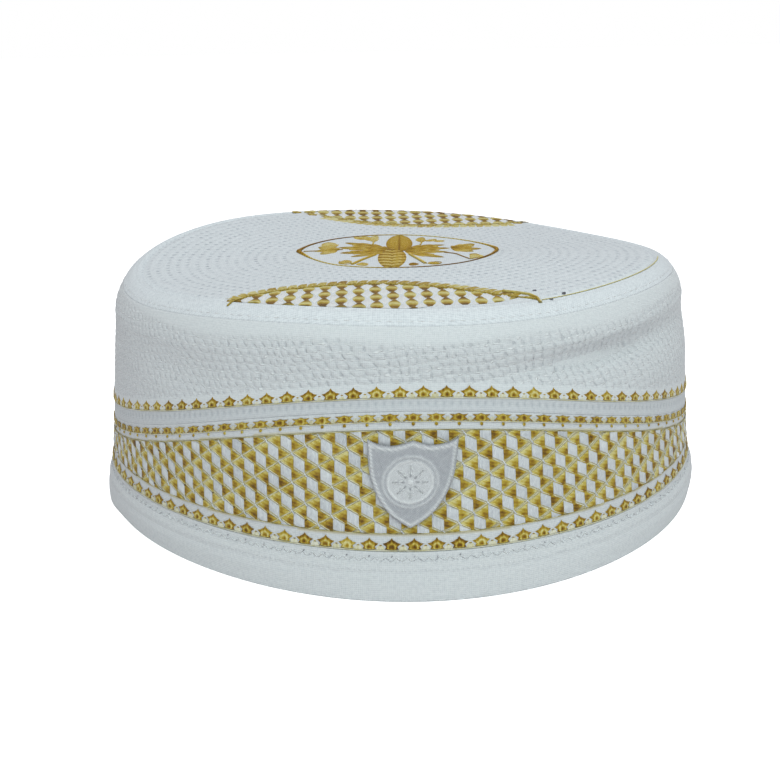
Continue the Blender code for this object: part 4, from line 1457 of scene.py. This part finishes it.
def half_moon(turned):
    """One half-moon, in front or turned to the back: strings, lozenges, star row, braid and edge cord, and
    in front an end cord too."""
    def place(x, y, out):
        if turned:
            x, y = BACK_AT[0] - BACK_STRETCH * x, BACK_AT[1] - y
        return on_crown(x, y, out)

    def rim(x):
        angle = np.linspace(-math.pi / 2, math.pi / 2, 721) + (math.pi if turned else 0.0)
        edge = shoulder_point(angle, 1.0)
        if turned:
            return np.interp(x, (BACK_AT[0] - edge[:, 0]) / BACK_STRETCH, BACK_AT[1] - edge[:, 1]) + RIM_GAP
        foot = np.interp(x, edge[:, 0], edge[:, 1]) + RIM_GAP
        return np.maximum(foot, glide(x, LENS_FOOT_KNOTS, LENS_FOOT))

    def trim(x, y, out):
        low, high = rim(x), lens_inner(x) - BAND
        cut = np.clip(y, low, np.maximum(high, low))
        return x, cut, np.where(cut == y, out, 0.02 * MM)

    def fan_out(column, row):
        level = glide(column, BOBBIN_KNOTS, BOBBIN_LINE) + row * BOBBIN_PITCH
        return np.stack([column - (level + 0.064) * (0.045 + 0.8 * column), level], 1)

    i, j = (part.ravel() for part in np.meshgrid(np.arange(-8, 9), np.arange(-5, 5)))
    column = COLUMN_FROM + i * COLUMN_PITCH
    gold = [embroider(bobbin(4.5 if turned else 3.9, BOBBIN_PITCH / MM), fan_out(column, j), place, trim,
                      0.07, 121)]
    pads = [embroider(lozenge([(0.0, -4.1), (1.5, 0.0), (0.0, 4.1), (-1.5, 0.0)], 0.35, 1.10),
                      fan_out(column + 0.5 * COLUMN_PITCH, j + 0.5), place, trim, 0.03, 122)]
    arc_x = np.linspace(LENS_TIPS[0] + 0.001, LENS_TIPS[1] - 0.001, 160)
    arc = np.stack([arc_x, lens_inner(arc_x) - BAND], 1)
    step = gone_along(arc)

    def on_arc(x, y, out):
        px, py = np.interp(x, step, arc[:, 0]), np.interp(x, step, arc[:, 1])
        ahead = np.interp(x, step, np.gradient(arc[:, 1], step))
        level = np.sqrt(np.clip(1 - ahead**2, 0.05, 1.0))
        return place(px - ahead * y, py + level * y, out)

    low_star = dict(up_star, out=0.8 * up_star["out"], shade=up_star["shade"] + 0.05)
    spots = (np.arange(MOON_STARS) + 0.75) * step[-1] / MOON_STARS
    spots = spots[spots < step[-1] - 0.001]
    gold.append(embroider(low_star, in_line(spots, 0.0006), on_arc, None, 0.07, 123))
    at_braids = (np.arange(BRAIDS - 4) + 2.5) * step[-1] / BRAIDS
    braid = lozenge([(-2.1, -3.5), (0.8, -3.5), (2.1, 3.5), (-0.8, 3.5)], 0.14, 0.68)
    if turned:
        at_braids, braid = at_braids[3:-3], dict(braid, shade=braid["shade"] + 0.25)
    gold.append(embroider(braid, in_line(at_braids, 0.0020), on_arc, None, 0.16, 126))
    line = np.linspace(0.002, step[-1] - 0.004, 220) if turned else np.linspace(0.0, step[-1], 220)
    thick, tone = (0.00020, 0.90) if turned else (0.00034, 0.60)
    gold.append(cord_on(in_line(line, -0.0004), thick, on_arc, False, tone, 1.2))
    if not turned:
        gold.append(cord_on(END_CORD, 0.00055, place, False, 0.66, 0.9))
    return gold, pads


front_gold, front_white = half_moon(False)
back_gold, back_white = half_moon(True)
on_crown_cloth += [sew("half_moons_gold", front_gold + back_gold, gold_silk),
                   sew("half_moons_white", front_white + back_white, white_silk)]

# Medallion. A thin oval ring of gold cord in the middle of the crown holds two long buds, toothed leaves
# to both sides, and sprays and curls on fine stems, all in gold satin stitch.

SPRAY_WIDTH = 1.4
SPRAY_BELOW = 6.4
CURVE_STEPS = 36
RING_STEPS = 260
MEDALLION_LEAVES = [
    # root, tip, width, lift, shade, depth of teeth, teeth, bow, vein, fullness, ribs
    ((-3.0, 4.0), (-18.6, 16.0), 8.5, 0.20, 0.62, 0.35, 4, -1.0, 0.35, 0.7, 0.15),
    ((-3.0, 3.5), (-15.8, -7.0), 6.5, 0.20, 0.66, 0.30, 3, 1.0, 0.35, 0.7, 0.15),
    ((-2.5, 3.0), (-19.6, -0.5), 9.0, 0.24, 0.60, 0.35, 4, 0.6, 0.35, 0.7, 0.15),
    ((-2.0, 4.0), (-20.4, 8.0), 9.5, 0.28, 0.68, 0.35, 4, -0.4, 0.35, 0.7, 0.15),
    ((2.0, 4.0), (16.0, 11.5), 8.0, 0.20, 0.60, 0.35, 4, 1.0, 0.35, 0.7, 0.15),
    ((2.0, 2.5), (14.8, -11.0), 7.0, 0.20, 0.66, 0.30, 3, -1.0, 0.35, 0.7, 0.15),
    ((2.0, 3.0), (16.4, -2.0), 8.0, 0.24, 0.68, 0.35, 4, -0.4, 0.35, 0.7, 0.15),
    ((2.0, 4.0), (17.4, 5.0), 8.0, 0.28, 0.60, 0.35, 4, 0.3, 0.35, 0.7, 0.15),
    ((0.2, 0.5), (0.5, 29.6), 9.4, 0.42, 0.62, 0.0, 3, 0.0, 0.40, 0.45, 0.0),
    ((-2.0, 5.0), (-2.2, -26.0), 9.6, 0.42, 0.66, 0.0, 7, 0.0, 0.10, 0.40, 0.42),
    ((-19.5, 5.5), (-27.0, 9.5), 4.8, 0.22, 0.80, 0.2, 2, 0.8, 0.2, 0.7, 0.1),
    ((-22.0, 8.0), (-24.0, 16.6), 5.2, 0.22, 0.95, 0.2, 2, 0.4, 0.15, 0.7, 0.1),
    ((-19.5, 4.5), (-28.0, 2.6), 4.0, 0.22, 0.75, 0.2, 2, -0.6, 0.2, 0.7, 0.1),
    ((-20.5, 3.5), (-25.6, -2.0), 3.8, 0.22, 0.85, 0.2, 2, -0.4, 0.2, 0.7, 0.1),
    ((17.2, 4.0), (27.8, 3.4), 6.0, 0.22, 0.62, 0.3, 3, 0.0, 0.25, 0.7, 0.1),
    ((17.6, 5.0), (25.6, 13.6), 6.0, 0.22, 0.74, 0.3, 3, -0.6, 0.25, 0.7, 0.1),
    ((18.0, 4.5), (22.6, 9.0), 4.4, 0.26, 0.45, 0.2, 2, 0.4, 0.2, 0.7, 0.1),
    ((18.0, 3.0), (24.6, -2.2), 4.8, 0.22, 0.78, 0.2, 2, 0.4, 0.2, 0.7, 0.1),
    ((-8.4, 17.0), (-7.6, 29.0), 3.4, 0.18, 1.0, 0.2, 2, 0.6, 0.1, 0.7, 0.1),
    ((-9.6, 19.0), (-12.6, 28.0), 3.4, 0.18, 0.85, 0.2, 2, -0.4, 0.15, 0.7, 0.1),
    ((-12.0, 21.0), (-15.2, 26.4), 3.0, 0.18, 0.80, 0.0, 2, 0.0, 0.15, 0.7, 0.1),
    ((8.0, 16.0), (8.4, 26.0), 3.2, 0.18, 0.75, 0.2, 2, 0.4, 0.15, 0.7, 0.1),
    ((9.6, 17.6), (13.0, 22.4), 3.2, 0.18, 0.80, 0.2, 2, -0.4, 0.15, 0.7, 0.1),
    ((12.5, 17.0), (16.0, 19.6), 2.8, 0.18, 0.82, 0.0, 2, 0.0, 0.15, 0.7, 0.1),
    ((-16.4, -11.6), (-18.4, -17.6), 3.2, 0.18, 0.80, 0.0, 2, 0.6, 0.2, 0.7, 0.1),
    ((-11.6, -16.5), (-10.4, -22.0), 3.2, 0.18, 0.80, 0.0, 2, -0.4, 0.2, 0.7, 0.1),
    ((4.6, -18.0), (4.0, -22.8), 2.6, 0.18, 0.30, 0.0, 2, 0.4, 0.1, 0.7, 0.1),
    ((10.2, -17.0), (12.4, -21.4), 3.2, 0.18, 0.72, 0.0, 2, -0.4, 0.2, 0.7, 0.1),
    ((24.2, -5.8), (23.2, -13.6), 3.8, 0.18, 0.98, 0.0, 2, 1.4, 0.1, 0.7, 0.1),
]
MEDALLION_STEMS = [
    # points of the stem, thickness in millimetres, shade
    ([(-7.6, -5.0), (-11.0, -11.5), (-14.6, -19.4)], 1.0, 0.60),
    ([(3.6, -5.2), (5.8, -12.0), (8.4, -20.0)], 1.0, 0.74),
    ([(-18.5, 4.6), (-25.0, 3.4), (-31.5, 2.6)], 0.45, 0.35),
    ([(-8.8, 12.0), (-8.5, 16.0), (-8.2, 20.0)], 0.60, 0.75),
    ([(7.4, 11.0), (7.8, 14.0), (8.2, 18.0)], 0.60, 0.66),
    ([(15.0, -3.0), (18.4, -5.4), (20.4, -9.6), (22.4, -13.8)], 0.50, 0.16),
    ([(22.4, -14.6), (25.4, -12.0), (26.0, -8.4), (24.6, -6.2), (23.0, -7.2)], 0.40, 0.60),
    ([(-18.8, -13.4), (-18.6, -17.0), (-16.4, -18.6), (-14.8, -16.8), (-16.2, -15.2)], 0.36, 0.60),
    ([(9.6, -20.4), (12.6, -20.6), (13.2, -18.0), (11.2, -17.4)], 0.36, 0.45),
]
MEDALLION_RING = [
    # points of the ring, thickness in millimetres, shade
    (-33.2, 2.3, 1.5, 0.10), (-31.6, 8.0, 0.8, 0.08), (-26.0, 17.0, 0.55, -0.05), (-18.0, 24.2, 0.5, -0.05),
    (-8.5, 28.6, 0.5, 0.5), (0.5, 29.6, 0.5, 0.8), (9.0, 28.0, 0.5, 0.85), (17.0, 24.0, 0.5, 0.8),
    (25.7, 16.6, 0.6, 0.75), (31.0, 7.6, 0.9, 0.55), (32.5, 1.0, 1.5, 0.18), (30.4, -6.6, 0.9, 0.15),
    (22.3, -17.6, 0.5, -0.05), (10.0, -24.0, 0.5, 0.0), (-1.0, -25.6, 0.5, 0.3), (-9.0, -24.8, 0.5, 0.75),
    (-19.3, -19.4, 0.55, 0.8), (-27.6, -8.6, 0.6, 0.75), (-33.2, 2.3, 1.5, 0.10),
]


def curve_through(points, steps):
    """Smooth curve through points in the plane, by glide along the summed chord length."""
    points = np.array(points, float)
    along = gone_along(points)
    at = np.linspace(0.0, along[-1], steps)
    return np.stack([glide(at, along, points[:, 0]), glide(at, along, points[:, 1])], 1)


amber_ramp = [(0.0, (0.20, 0.09, 0.005)), (0.35, (0.49, 0.27, 0.012)), (0.65, (0.68, 0.47, 0.055)),
              (1.0, (0.82, 0.72, 0.32))]
amber_silk = silk("amber silk", amber_ramp, 0.5, 0.15, 0.0)
spray = []
for root, tip, width, *rest in MEDALLION_LEAVES:
    width = width * SPRAY_WIDTH if width < SPRAY_BELOW else width
    motif = leaf(root, tip, width, *rest, CURVE_STEPS)
    spray.append(embroider(motif, [(0.0, 0.0)], on_crown, None, 0.0))
for points, thick, shade in MEDALLION_STEMS:
    stem = curve_through(points, CURVE_STEPS) * MM
    spray.append(cord_on(stem, 0.5 * thick * MM, on_crown, False, shade, 1.0))
ring = np.array(MEDALLION_RING)
ring_path = curve_through(ring[:, :2], RING_STEPS)
ring_along = gone_along(ring[:, :2])
ring_at = np.linspace(0.0, ring_along[-1], RING_STEPS)
ring_thick, ring_shade = (np.interp(ring_at, ring_along, ring[:, part])[::-1] for part in (2, 3))
spray.append(cord_on(ring_path[::-1] * MM, 0.5 * ring_thick * MM, on_crown, False, ring_shade[:, None], 1.2))
on_crown_cloth.append(sew("medallion", spray, amber_silk))

# Running thread. One fine gold thread is couched along the right-hand part of the crown's edge, from the
# tip of the front half-moon toward the side.

THREAD_DEGREES = (28.5, 79.0)
thread_angles = np.radians(np.linspace(*THREAD_DEGREES, 200))
thread_path = shoulder_point(thread_angles, 1.0)[:, :2]
running = cord_on(thread_path, 0.00021, on_crown, False, 1.05, 1.6)
on_crown_cloth.append(sew("running_thread", [running], gold_silk))
